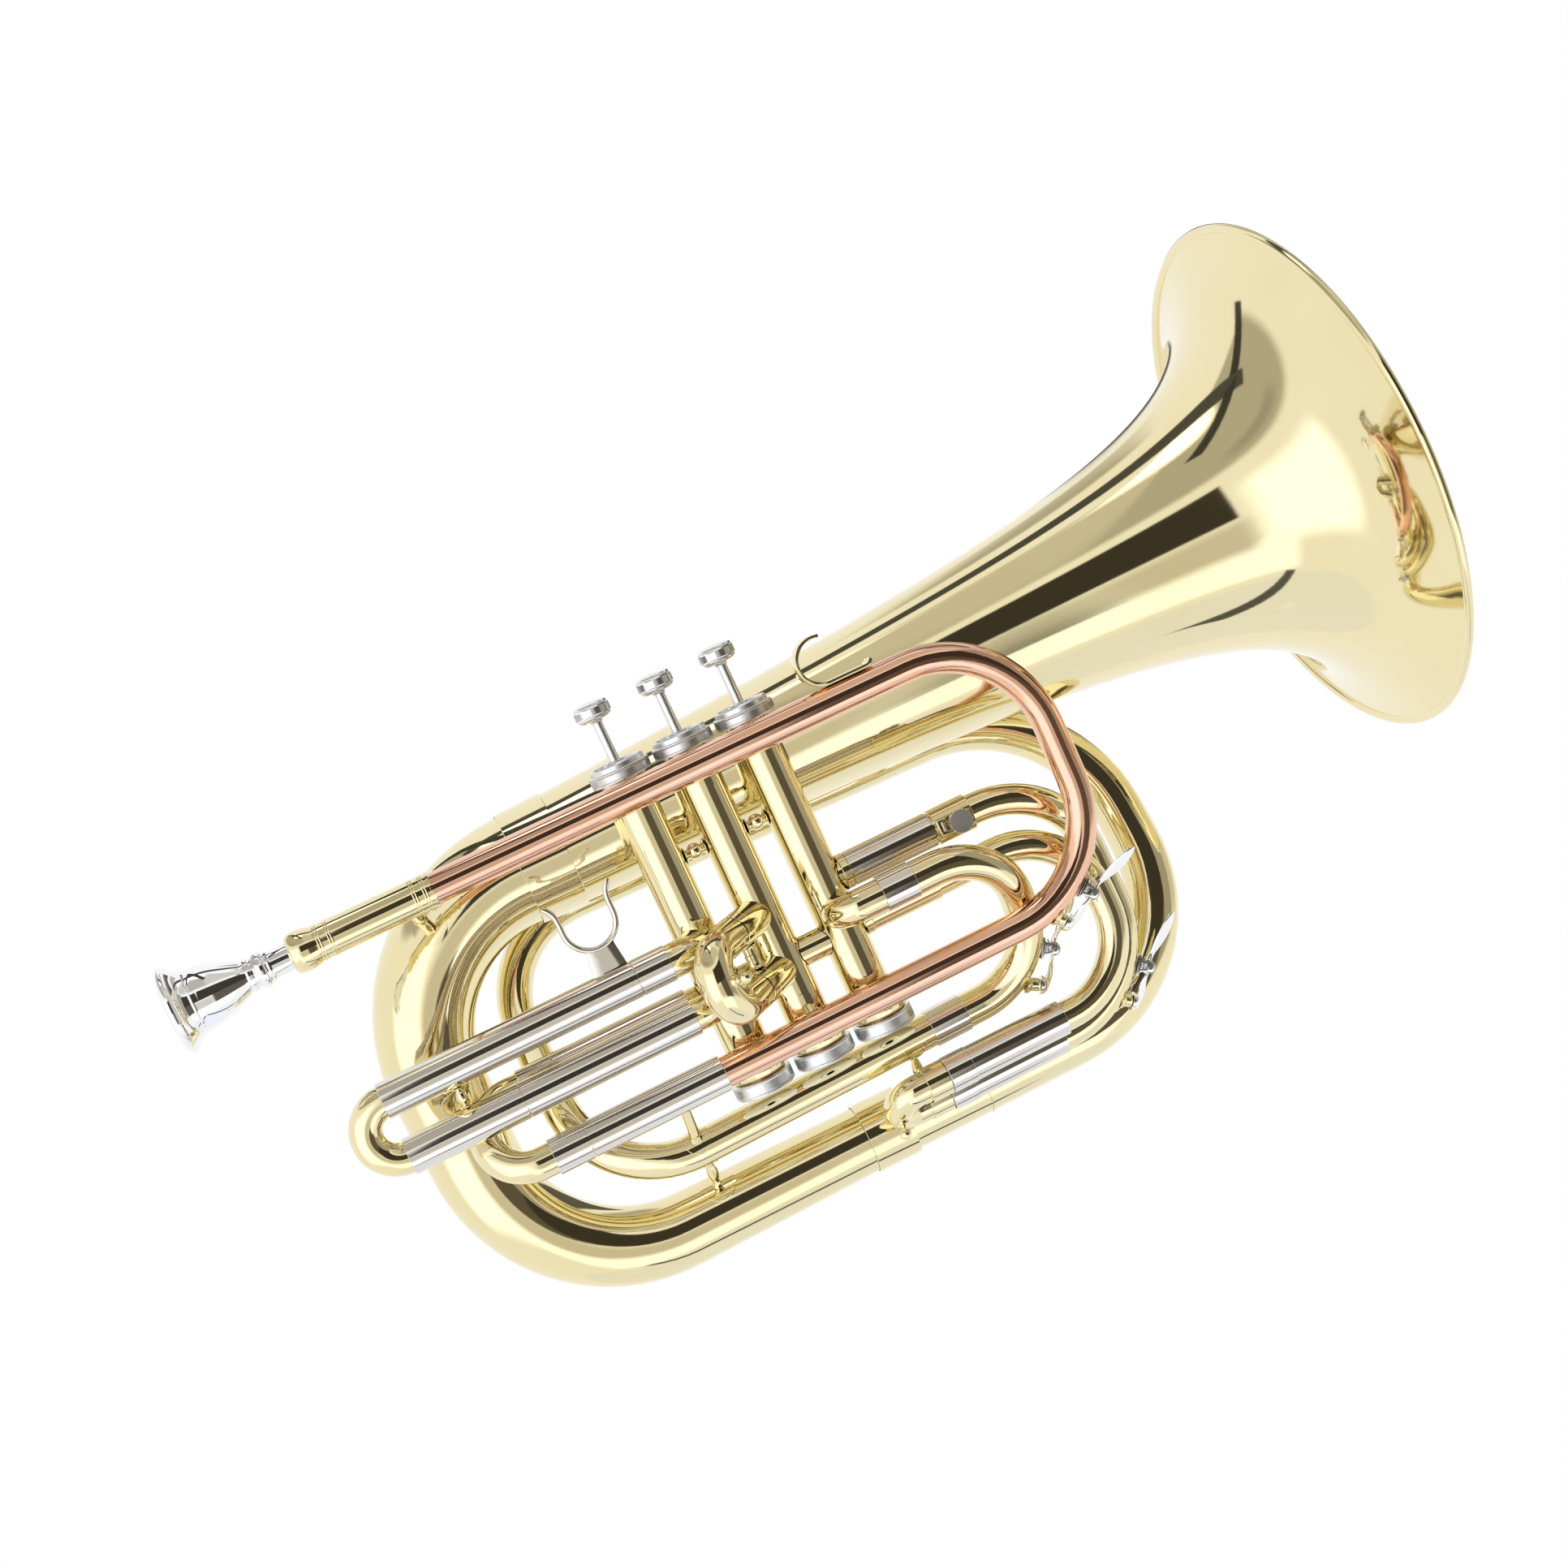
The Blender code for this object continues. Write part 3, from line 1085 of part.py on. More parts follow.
def flanged_profile(length, swell, plate=BRACE_FLANGE_THICKNESS * 3):
    """A post with a flange at each end and a swelling at its middle, from top to bottom."""
    half = length / 2
    profile = [(0.0, half), (BRACE_FLANGE_RADIUS, half), (BRACE_FLANGE_RADIUS, half - plate),
               (BRACE_RADIUS * 0.8, half - plate - 0.0006)]
    for i in range(3):
        angle = math.pi * (i + 1) / 4
        radius = BRACE_RADIUS * 0.8 + (swell - BRACE_RADIUS * 0.8) * math.sin(angle)
        profile.append((radius, min(half - 0.002, swell) * math.cos(angle)))
    profile += [(BRACE_RADIUS * 0.8, -half + plate + 0.0006), (BRACE_FLANGE_RADIUS, -half + plate),
                (BRACE_FLANGE_RADIUS, -half), (0.0, -half)]
    return profile


def flange_drop(radius):
    """How far from a tube's axis a flange's rim lies when the flange is bent round the tube."""
    outer = radius + SEAT_GAP
    return math.sqrt(outer ** 2 - min(BRACE_FLANGE_RADIUS, outer * 0.8) ** 2)


def post_between(name, first, second, swell):
    """A brace between two round tubes, each given by a point on its axis, its direction and its radius."""
    away = (second[0] - first[0]).normalized()
    start = first[0] + away * flange_drop(first[2])
    end = second[0] - away * flange_drop(second[2])
    post = turned(name, flanged_profile((end - start).length, swell), (start + end) / 2, -away,
                  LACQUERED_BRASS, steps=SMALL_STEPS)
    for i, (centre, direction, radius) in enumerate((first, second)):
        reach = direction.normalized() * BRACE_FLANGE_RADIUS * 3
        cut(post, cylinder(f"{name}_seat_{i}", radius + SEAT_GAP, centre - reach, centre + reach, sides=32))


def branch_axis(x):
    first = Vector((BRANCH_START_X, BRANCH_LOW_Y, BRANCH_LOW_Z))
    second = Vector((BRANCH_LEFT_X, BRANCH_LEFT_Y, BRANCH_LEFT_Z))
    return first.lerp(second, (x - first.x) / (second.x - first.x))


def back_bow_at(x):
    """Centre and radius of the back bow's straight lower run."""
    first, second = back_bow_corners()[:2]
    centre = first.lerp(second, (x - first.x) / (second.x - first.x))
    end_x = BACK_BOW_X + BACK_BOW_BEND
    share = (x - first.x) / (end_x - first.x)
    radius = BACK_BOW_START_RADIUS + (BACK_BOW_MID_RADIUS - BACK_BOW_START_RADIUS) * share
    return centre, radius


def build_braces():
    swell = BRACE_RADIUS * 1.5
    branch_run = branch_axis(BRANCH_LEFT_X) - branch_axis(BRANCH_START_X)
    tuning = (Vector((TUNING_STRUT_X, LEAD_Y, LEAD_LOW_Z)), ALONG_X, SLEEVE_RADIUS)
    post_between("tuning_strut", tuning, (branch_axis(TUNING_STRUT_X), branch_run, BRANCH_END_RADIUS), swell)
    centre, radius = back_bow_at(BALUSTER_X)
    bow_run = back_bow_corners()[1] - back_bow_corners()[0]
    post_between("bow_baluster", (branch_axis(BALUSTER_X), branch_run, BRANCH_END_RADIUS),
                 (centre, bow_run, radius + SEAT_GAP), swell)

    end, start = front_bow_corners()[2:]
    centre = start.lerp(end, (POST_X - start.x) / (end.x - start.x))
    post_between("branch_post", (branch_axis(POST_X), branch_run, BRANCH_END_RADIUS),
                 (centre, end - start, FRONT_BOW_END_RADIUS), swell)

    bow, radii = back_bow_path()
    upper = [i for i in range(len(bow) - 1) if bow[i].z > 0 and bow[i].x <= RECEIVER_BRACE_FOOT_X]
    i = upper[-1]
    share = (RECEIVER_BRACE_FOOT_X - bow[i].x) / (bow[i + 1].x - bow[i].x)
    foot = bow[i].lerp(bow[i + 1], share)
    top = Vector((RECEIVER_BRACE_X, LEAD_Y, LEAD_TOP_Z))
    post_between("receiver_brace", (top, ALONG_X, RECEIVER_RADIUS),
                 (foot, bow[i + 1] - bow[i], max(radii[i], radii[i + 1])), swell)


def build_hook():
    """The little-finger hook: a flat strip on the leadpipe that curls back over itself."""
    rest = LEAD_TOP_Z + LEAD_RADIUS + SEAT_GAP + HOOK_THICKNESS / 2
    centre = Vector((HOOK_X, rest + HOOK_RADIUS))
    line = [Vector((HOOK_X + HOOK_FOOT_LENGTH + 0.0014, rest + 0.0016)), Vector((HOOK_X + HOOK_FOOT_LENGTH, rest))]
    for i in range(9):
        angle = math.radians(-90 - 200 * i / 8)
        line.append(centre + Vector((math.cos(angle), math.sin(angle))) * HOOK_RADIUS)
    stand = Matrix.Translation((0, LEAD_Y, 0)) @ Matrix.Rotation(math.radians(90), 4, "X")
    flat_outline("pinky_hook", [strip_loop(line, HOOK_THICKNESS)], HOOK_WIDTH, stand, ROSE_BRASS)


# Water keys

def key_frame(centre_x, centre_z, bow_radius, y, angle, tube_radius):
    """Local frame of a key: X along the bow, Y along the pin, Z away from the tube's surface."""
    turn = math.radians(angle)
    out = Vector((math.cos(turn), 0, math.sin(turn)))
    along = Vector((-math.sin(turn), 0, math.cos(turn)))
    across = out.cross(along)
    pivot = Vector((centre_x, y, centre_z)) + out * (bow_radius + tube_radius + KEY_PIVOT_HEIGHT)
    frame = Matrix((along, across, out)).transposed().to_4x4()
    return Matrix.Translation(pivot) @ frame


def water_key(number, frame, tube_radius):
    """Saddle with its pin, and a lever with a cup at one end and a touch at the other."""
    inner = KEY_WIDTH / 2 + SEAT_GAP
    outer = inner + KEY_EAR_THICKNESS
    top = KEY_PIN_RADIUS + 0.0016
    base = -KEY_PIVOT_HEIGHT + SEAT_GAP
    loop = [(-outer, base), (outer, base), (outer, top), (inner, top), (inner, base + 0.0016),
            (-inner, base + 0.0016), (-inner, top), (-outer, top)]
    stand = frame @ Matrix.Rotation(math.radians(90), 4, "X") @ Matrix.Rotation(math.radians(90), 4, "Y")
    saddle = flat_outline(f"water_key_{number}_saddle", [loop], KEY_EAR_WIDTH, stand, SILVER_PLATE)
    reach = Vector((0, outer - KEY_EAR_THICKNESS / 2, 0))
    pin = cylinder(f"key_{number}_pin", KEY_PIN_RADIUS, frame @ -reach, frame @ reach, sides=12)
    join(saddle, pin)

    half = KEY_THICKNESS / 2
    hub = KEY_PIN_RADIUS + SEAT_GAP + 0.0012
    cup_z = -KEY_PIVOT_HEIGHT + SEAT_GAP + 0.0012 + KEY_CUP_HEIGHT
    tip_z = KEY_PIVOT_HEIGHT * 0.9
    upper = [(-KEY_CUP_LENGTH - KEY_CUP_RADIUS * 0.4, cup_z + half), (-KEY_CUP_LENGTH * 0.6, cup_z + half * 1.6),
             (-hub * 1.4, hub * 0.7), (0.0, hub), (hub * 1.6, hub * 0.9), (KEY_TIP_LENGTH * 0.6, tip_z + half),
             (KEY_TIP_LENGTH, tip_z + half * 2)]
    lower = [(KEY_TIP_LENGTH, tip_z), (KEY_TIP_LENGTH * 0.6, tip_z - half), (hub * 1.6, -hub * 0.5), (0.0, -hub),
             (-hub * 1.2, -hub * 0.7), (-KEY_CUP_LENGTH * 0.6, cup_z - half),
             (-KEY_CUP_LENGTH - KEY_CUP_RADIUS * 0.4, cup_z - half)]
    side = frame @ Matrix.Rotation(math.radians(90), 4, "X")
    hole = circle_loop((0.0, 0.0), KEY_PIN_RADIUS + SEAT_GAP)
    lever = flat_outline(f"water_key_{number}_lever", [upper + lower, hole], KEY_WIDTH, side, SILVER_PLATE)
    foot = Vector((-KEY_CUP_LENGTH, 0, cup_z - KEY_CUP_HEIGHT))
    head = Vector((-KEY_CUP_LENGTH, 0, cup_z - half * 0.5))
    join(lever, cylinder(f"key_{number}_cup", KEY_CUP_RADIUS, frame @ foot, frame @ head, sides=14))


def build_water_keys():
    lead_centre_x = LEAD_RIGHT_X - LEAD_BOW_RADIUS
    lead_centre_z = LEAD_LOW_Z + LEAD_BOW_RADIUS
    water_key(1, key_frame(lead_centre_x, lead_centre_z, LEAD_BOW_RADIUS, LEAD_Y, KEY_1_ANGLE, LEAD_RADIUS),
              LEAD_RADIUS)
    crook_centre_x = SLIDE_3_OUTER_X - SLIDE_3_OUTER_LOWER_RADIUS
    crook_centre_z = SLIDE_3_BACK_Z + SLIDE_3_OUTER_LOWER_RADIUS
    water_key(2, key_frame(crook_centre_x, crook_centre_z, SLIDE_3_OUTER_LOWER_RADIUS, SLIDE_3_BACK_Y,
                           KEY_2_ANGLE, TUBE_RADIUS), TUBE_RADIUS)
    drop = EXIT_Z - BRANCH_LOW_Z
    j_centre_x = J_BOW_X - J_BOW_RADIUS
    j_centre_z = BRANCH_LOW_Z + J_BOW_RADIUS
    pivot_z = j_centre_z + math.sin(math.radians(KEY_3_ANGLE)) * J_BOW_RADIUS
    share = (EXIT_Z - pivot_z) / drop
    pivot_y = EXIT_Y + (BRANCH_LOW_Y - EXIT_Y) * share
    water_key(3, key_frame(j_centre_x, j_centre_z, J_BOW_RADIUS, pivot_y, KEY_3_ANGLE, J_END_RADIUS), J_END_RADIUS)


def smooth_all():
    for piece in PARTS.objects:
        if piece.type == "MESH":
            piece.data.shade_smooth()
            piece.data.set_sharp_from_angle(angle=math.radians(40))


build_valves()
build_valve_links()
build_mouthpipe()
build_tuning_slide()
build_slide_1_fixed()
build_slide_1_moving()
build_slide_2()
build_slide_3_fixed()
build_slide_3_moving()
build_lyre_holder()
build_exit_tubing()
build_front_bow()
build_back_bow()
build_bell()
build_braces()
build_hook()
build_water_keys()
smooth_all()
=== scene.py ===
# Marching baritone horn: fine surfaces, finishes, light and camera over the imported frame
import logging
import math
from dataclasses import dataclass, field
from enum import Enum
from typing import Sequence

import bpy
from mathutils import Matrix, Vector


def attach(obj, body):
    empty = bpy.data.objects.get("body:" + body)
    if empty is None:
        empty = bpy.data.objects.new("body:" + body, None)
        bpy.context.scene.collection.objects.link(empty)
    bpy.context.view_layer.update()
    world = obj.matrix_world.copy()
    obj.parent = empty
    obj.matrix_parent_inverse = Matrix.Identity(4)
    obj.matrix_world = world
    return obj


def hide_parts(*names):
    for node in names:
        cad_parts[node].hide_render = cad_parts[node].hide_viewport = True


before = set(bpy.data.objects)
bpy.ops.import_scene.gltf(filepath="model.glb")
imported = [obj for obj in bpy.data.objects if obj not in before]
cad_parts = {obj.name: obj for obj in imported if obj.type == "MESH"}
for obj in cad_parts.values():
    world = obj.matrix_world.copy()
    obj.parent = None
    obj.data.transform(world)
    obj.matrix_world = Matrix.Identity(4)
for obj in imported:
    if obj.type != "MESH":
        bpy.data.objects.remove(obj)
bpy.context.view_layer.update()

LOG = logging.getLogger("baritone")

UP = Vector((0.0, 0.0, 1.0))
ALONG_X = Vector((1.0, 0.0, 0.0))
TO_PLAYER = Vector((-1.0, 0.0, 0.0))
TO_RIGHT = Vector((0.0, -1.0, 0.0))

VALVE_SPACING = 0.0302
CASING_CLEARANCE = 0.0105
SECOND_SLIDE_TURN = math.radians(54.6)
BRANCH_TOP_LEFT = Vector((-0.1158, 0.0695, 0.0260))
BRANCH_TOP_RIGHT = Vector((0.0300, 0.0757, 0.0231))

Sleeve = tuple[float, float, float]
Profile = list[tuple[float, float]]


class Slot(Enum):
    """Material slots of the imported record."""

    LACQUER = "lacquered_brass"
    ROSE = "rose_brass"
    NICKEL = "nickel_silver"
    SILVER = "silver_plate"
    KNURLED = "knurled_nickel"
    SPRING = "spring_steel"


class Cut(Enum):
    """What is left of a piece when another one goes through it."""

    AWAY = "DIFFERENCE"
    SHARED = "INTERSECT"


# Shader groups

def group_socket(tree: bpy.types.NodeTree, name: str, way: str, kind: str, value: object = None) -> None:
    """Add one named socket to a shader group.

    Args:
        tree: The group that gets the socket.
        name: The socket's name.
        way: INPUT or OUTPUT.
        kind: The socket's type, such as NodeSocketFloat.
        value: Its default, if it has one.
    """
    made = tree.interface.new_socket(name=name, in_out=way, socket_type=kind)
    if value is not None:
        made.default_value = value


def handling_group() -> bpy.types.NodeTree:
    """Build the group for handled, lacquered metal.

    Returns:
        The group, with a colour, a roughness and a height that vary slowly over the surface.
    """
    found = bpy.data.node_groups.get("HandledMetal")
    if found:
        return found
    tree = bpy.data.node_groups.new("HandledMetal", "ShaderNodeTree")
    group_socket(tree, "Colour", "INPUT", "NodeSocketColor", (0.8, 0.7, 0.4, 1.0))
    group_socket(tree, "Deep colour", "INPUT", "NodeSocketColor", (0.7, 0.5, 0.2, 1.0))
    group_socket(tree, "Polish", "INPUT", "NodeSocketFloat", 0.08)
    group_socket(tree, "Smear", "INPUT", "NodeSocketFloat", 0.06)
    group_socket(tree, "Patch size", "INPUT", "NodeSocketFloat", 18.0)
    group_socket(tree, "Colour", "OUTPUT", "NodeSocketColor")
    group_socket(tree, "Roughness", "OUTPUT", "NodeSocketFloat")
    group_socket(tree, "Height", "OUTPUT", "NodeSocketFloat")
    nodes = tree.nodes
    links = tree.links
    enter = nodes.new("NodeGroupInput")
    leave = nodes.new("NodeGroupOutput")
    place = nodes.new("ShaderNodeTexCoord")
    patches = nodes.new("ShaderNodeTexNoise")
    patches.inputs["Detail"].default_value = 3.0
    links.new(place.outputs["Object"], patches.inputs["Vector"])
    links.new(enter.outputs["Patch size"], patches.inputs["Scale"])
    fine = nodes.new("ShaderNodeTexNoise")
    fine.inputs["Scale"].default_value = 420.0
    fine.inputs["Detail"].default_value = 2.0
    links.new(place.outputs["Object"], fine.inputs["Vector"])
    share = nodes.new("ShaderNodeMapRange")
    share.inputs["From Min"].default_value = 0.35
    share.inputs["From Max"].default_value = 0.70
    links.new(patches.outputs["Fac"], share.inputs["Value"])
    blend = nodes.new("ShaderNodeMix")
    blend.data_type = "RGBA"
    links.new(share.outputs["Result"], blend.inputs["Factor"])
    links.new(enter.outputs["Colour"], blend.inputs["A"])
    links.new(enter.outputs["Deep colour"], blend.inputs["B"])
    links.new(blend.outputs["Result"], leave.inputs["Colour"])
    smear = nodes.new("ShaderNodeMath")
    smear.operation = "MULTIPLY"
    links.new(share.outputs["Result"], smear.inputs[0])
    links.new(enter.outputs["Smear"], smear.inputs[1])
    rough = nodes.new("ShaderNodeMath")
    rough.operation = "ADD"
    links.new(smear.outputs[0], rough.inputs[0])
    links.new(enter.outputs["Polish"], rough.inputs[1])
    links.new(rough.outputs[0], leave.inputs["Roughness"])
    links.new(fine.outputs["Fac"], leave.inputs["Height"])
    return tree


# Finishes

@dataclass(frozen=True)
class Finish:
    """One metal finish of the horn."""

    name: str
    slot: Slot
    colour: tuple[float, float, float]
    deep: tuple[float, float, float]
    polish: float
    smear: float
    patch: float
    coat: float = 0.0
    grain: float = 0.00002

    def material(self) -> bpy.types.Material:
        """Build the finish's material, or return it if it is built.

        Returns:
            The material, with the handled-metal group on a Principled shader.
        """
        found = bpy.data.materials.get(self.name)
        if found:
            return found
        made = bpy.data.materials.new(self.name)
        made.use_nodes = True
        nodes = made.node_tree.nodes
        links = made.node_tree.links
        shader = nodes["Principled BSDF"]
        shader.inputs["Metallic"].default_value = 1.0
        shader.inputs["Coat Weight"].default_value = self.coat
        shader.inputs["Coat Roughness"].default_value = 0.04
        worn = nodes.new("ShaderNodeGroup")
        worn.node_tree = handling_group()
        worn.inputs["Colour"].default_value = (*self.colour, 1.0)
        worn.inputs["Deep colour"].default_value = (*self.deep, 1.0)
        worn.inputs["Polish"].default_value = self.polish
        worn.inputs["Smear"].default_value = self.smear
        worn.inputs["Patch size"].default_value = self.patch
        links.new(worn.outputs["Colour"], shader.inputs["Base Color"])
        links.new(worn.outputs["Roughness"], shader.inputs["Roughness"])
        bump = nodes.new("ShaderNodeBump")
        bump.inputs["Strength"].default_value = 0.12
        bump.inputs["Distance"].default_value = self.grain
        links.new(worn.outputs["Height"], bump.inputs["Height"])
        links.new(bump.outputs["Normal"], shader.inputs["Normal"])
        return made


LACQUER = Finish("clear_lacquered_brass", Slot.LACQUER, (0.86, 0.765, 0.465), (0.84, 0.735, 0.425),
                 0.04, 0.03, 14.0, 0.5)
ROSE = Finish("clear_lacquered_rose_brass", Slot.ROSE, (0.89, 0.545, 0.385), (0.86, 0.50, 0.34),
              0.05, 0.04, 18.0, 0.5)
NICKEL = Finish("drawn_nickel_silver", Slot.NICKEL, (0.80, 0.76, 0.69), (0.76, 0.71, 0.63), 0.06, 0.04, 26.0)
SILVER = Finish("bright_silver_plate", Slot.SILVER, (0.93, 0.93, 0.93), (0.90, 0.90, 0.91), 0.03, 0.02, 30.0)
SATIN = Finish("satin_nickel_plate", Slot.SILVER, (0.86, 0.86, 0.85), (0.82, 0.82, 0.81), 0.18, 0.06, 60.0)
KNURL = Finish("knurled_nickel_plate", Slot.KNURLED, (0.84, 0.84, 0.83), (0.79, 0.79, 0.78), 0.30, 0.08, 80.0)
STEEL = Finish("spring_wire", Slot.SPRING, (0.50, 0.50, 0.51), (0.44, 0.44, 0.45), 0.30, 0.10, 90.0)


# Selection, placing and finishing of one piece

def deselect() -> None:
    """Leave edit mode and select nothing."""
    if bpy.context.mode != "OBJECT":
        bpy.ops.object.mode_set(mode="OBJECT")
    bpy.ops.object.select_all(action="DESELECT")


def activate(piece: bpy.types.Object) -> None:
    """Make one object the only selected one, and the active one.

    Args:
        piece: The object.
    """
    deselect()
    piece.select_set(True)
    bpy.context.view_layer.objects.active = piece


def bake_place(piece: bpy.types.Object, matrix: Matrix) -> None:
    """Move a mesh's points by a matrix and leave its object at the origin."""
    piece.data.transform(matrix)
    piece.matrix_world = Matrix.Identity(4)


def apply_all(piece: bpy.types.Object) -> None:
    """Apply every modifier of a piece, in order.

    Args:
        piece: The piece.
    """
    activate(piece)
    for step in list(piece.modifiers):
        bpy.ops.object.modifier_apply(modifier=step.name)


def settle(piece: bpy.types.Object, finish: Finish, body: str, *nodes: str, angle: float = 35.0) -> None:
    """Dress a finished piece, shade it, tie it to its body, and hide the CAD nodes that it stands for.

    Args:
        piece: The piece.
        finish: Its finish.
        body: The body that it moves with.
        nodes: The CAD nodes that it replaces.
        angle: The edge angle in degrees past which an edge stays sharp.
    """
    piece.data.materials.clear()
    piece.data.materials.append(finish.material())
    activate(piece)
    bpy.ops.object.shade_smooth_by_angle(angle=math.radians(angle))
    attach(piece, body)
    if nodes:
        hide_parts(*nodes)
    LOG.info("%s: %d faces on %s", piece.name, len(piece.data.polygons), body)


def frame_along(centre: Vector, direction: Vector) -> Matrix:
    """Return the matrix that turns +Z to a direction and moves the origin to a point."""
    return Matrix.Translation(centre) @ direction.to_track_quat("Z", "Y").to_matrix().to_4x4()


# Paths

SHORTEST_RUN = 0.0002


def bend(before: Vector, corner: Vector, after: Vector, radius: float, step: float) -> list[Vector]:
    """Return the points of the arc that rounds one corner of a path.

    Args:
        before: The corner before this one.
        corner: The corner.
        after: The corner after it.
        radius: The bend's radius.
        step: The greatest turn between two points, in radians.

    Returns:
        The arc's points, from where it leaves the first run to where it meets the second.
    """
    back = (before - corner).normalized()
    ahead = (after - corner).normalized()
    turn = math.pi - back.angle(ahead)
    centre = corner + (back + ahead).normalized() * (radius / math.cos(turn / 2))
    spoke = corner + back * (radius * math.tan(turn / 2)) - centre
    axis = back.cross(ahead).normalized()
    count = max(2, math.ceil(turn / step))
    return [centre + Matrix.Rotation(-turn * i / count, 3, axis) @ spoke for i in range(count + 1)]


def route(corners: Sequence[Vector], radii: Sequence[float], step: float = math.radians(6.0)) -> list[Vector]:
    """Return straight runs between corners with each inner corner rounded to its radius.

    Args:
        corners: The corners, with the two ends of the path.
        radii: The bend's radius at each inner corner.
        step: The greatest turn between two points of a bend, in radians.

    Returns:
        The path's points.
    """
    points = [corners[0].copy()]
    for i, radius in enumerate(radii):
        points += bend(corners[i], corners[i + 1], corners[i + 2], radius, step)
    points.append(corners[-1].copy())
    kept = points[:1]
    for point in points[1:]:
        if (point - kept[-1]).length > SHORTEST_RUN:
            kept.append(point)
    return kept


def marks_of(points: Sequence[Vector]) -> list[float]:
    """Return the length along a path at each of its points.

    Args:
        points: The path.

    Returns:
        One length for each point, from 0.
    """
    total = [0.0]
    for first, second in zip(points, points[1:]):
        total.append(total[-1] + (second - first).length)
    return total


def point_at(points: Sequence[Vector], marks: Sequence[float], length: float) -> Vector:
    """Return the point at a length along a path.

    Args:
        points: The path.
        marks: The length at each of its points.
        length: The length to go along it.

    Returns:
        The point.
    """
    for i in range(len(points) - 1):
        if length <= marks[i + 1] or i == len(points) - 2:
            return points[i].lerp(points[i + 1], (length - marks[i]) / (marks[i + 1] - marks[i]))
    return points[-1].copy()


def stepped(points: Sequence[Vector], start: float, end: float, sleeves: Sequence[Sleeve] = (),
            ramp: float = 0.00025) -> tuple[list[Vector], list[float]]:
    """Place points and radii for a tapering tube that is wider or narrower along each sleeve.

    Args:
        points: The tube's path.
        start: The radius at its first point.
        end: The radius at its last point.
        sleeves: From, to and radius of each sleeve, as lengths along the path.
        ramp: The length over which a sleeve's edge rises.

    Returns:
        The points and the radius at each.
    """
    marks = marks_of(points)
    full = marks[-1]
    keys = {round(mark, 7) for mark in marks}
    for first, last, _ in sleeves:
        if first > 0:
            keys |= {round(first, 7), round(first + ramp, 7)}
        if last < full:
            keys |= {round(last - ramp, 7), round(last, 7)}
    placed = []
    radii = []
    for key in sorted(keys):
        radius = start + (end - start) * key / full
        for first, last, wide in sleeves:
            if (key > first + ramp / 2 or first <= 0) and (key < last - ramp / 2 or last >= full):
                radius = wide
        placed.append(point_at(points, marks, key))
        radii.append(radius)
    return placed, radii


# Forms

def bar(name: str, points: Sequence[Vector], radii: Sequence[float], sides: int,
        capped: bool) -> bpy.types.Object:
    """Make a round bar or an open skin along a path.

    Args:
        name: The piece's name.
        points: Its path.
        radii: Its radius at each point.
        sides: How many sides its section has.
        capped: Whether its ends are closed.

    Returns:
        The bar as a mesh object at the origin.
    """
    deselect()
    bpy.ops.curve.primitive_nurbs_path_add(location=(0.0, 0.0, 0.0))
    piece = bpy.context.active_object
    piece.name = name
    line = piece.data
    line.splines.clear()
    line.bevel_depth = 1.0
    line.bevel_resolution = (sides - 4) // 2
    line.use_fill_caps = capped
    run = line.splines.new("POLY")
    run.points.add(len(points) - 1)
    for target, place, radius in zip(run.points, points, radii):
        target.co = (*place, 1.0)
        target.radius = radius
    activate(piece)
    bpy.ops.object.convert(target="MESH")
    piece = bpy.context.active_object
    piece.data.name = name
    bpy.ops.object.mode_set(mode="EDIT")
    bpy.ops.mesh.select_all(action="SELECT")
    bpy.ops.mesh.remove_doubles(threshold=0.000001)
    bpy.ops.mesh.normals_make_consistent(inside=False)
    bpy.ops.object.mode_set(mode="OBJECT")
    return piece


def pipe(name: str, points: Sequence[Vector], radii: Sequence[float], sides: int = 28,
         wall: float = 0.0006) -> bpy.types.Object:
    """Make an open tube along a path, with its wall inside the given radius.

    Args:
        name: The piece's name.
        points: Its path.
        radii: Its outer radius at each point.
        sides: How many sides its section has.
        wall: Its wall's thickness.

    Returns:
        The tube as a mesh object at the origin.
    """
    piece = bar(name, points, radii, sides, False)
    centre = sum((Vector(corner) for corner in points[:2]), Vector()) / 2
    face = min(piece.data.polygons, key=lambda item: (item.center - centre).length)
    if (face.center - centre).dot(face.normal) < 0:
        activate(piece)
        bpy.ops.object.mode_set(mode="EDIT")
        bpy.ops.mesh.select_all(action="SELECT")
        bpy.ops.mesh.flip_normals()
        bpy.ops.object.mode_set(mode="OBJECT")
    shell = piece.modifiers.new("wall", "SOLIDIFY")
    shell.thickness = wall
    shell.offset = -1.0
    apply_all(piece)
    return piece


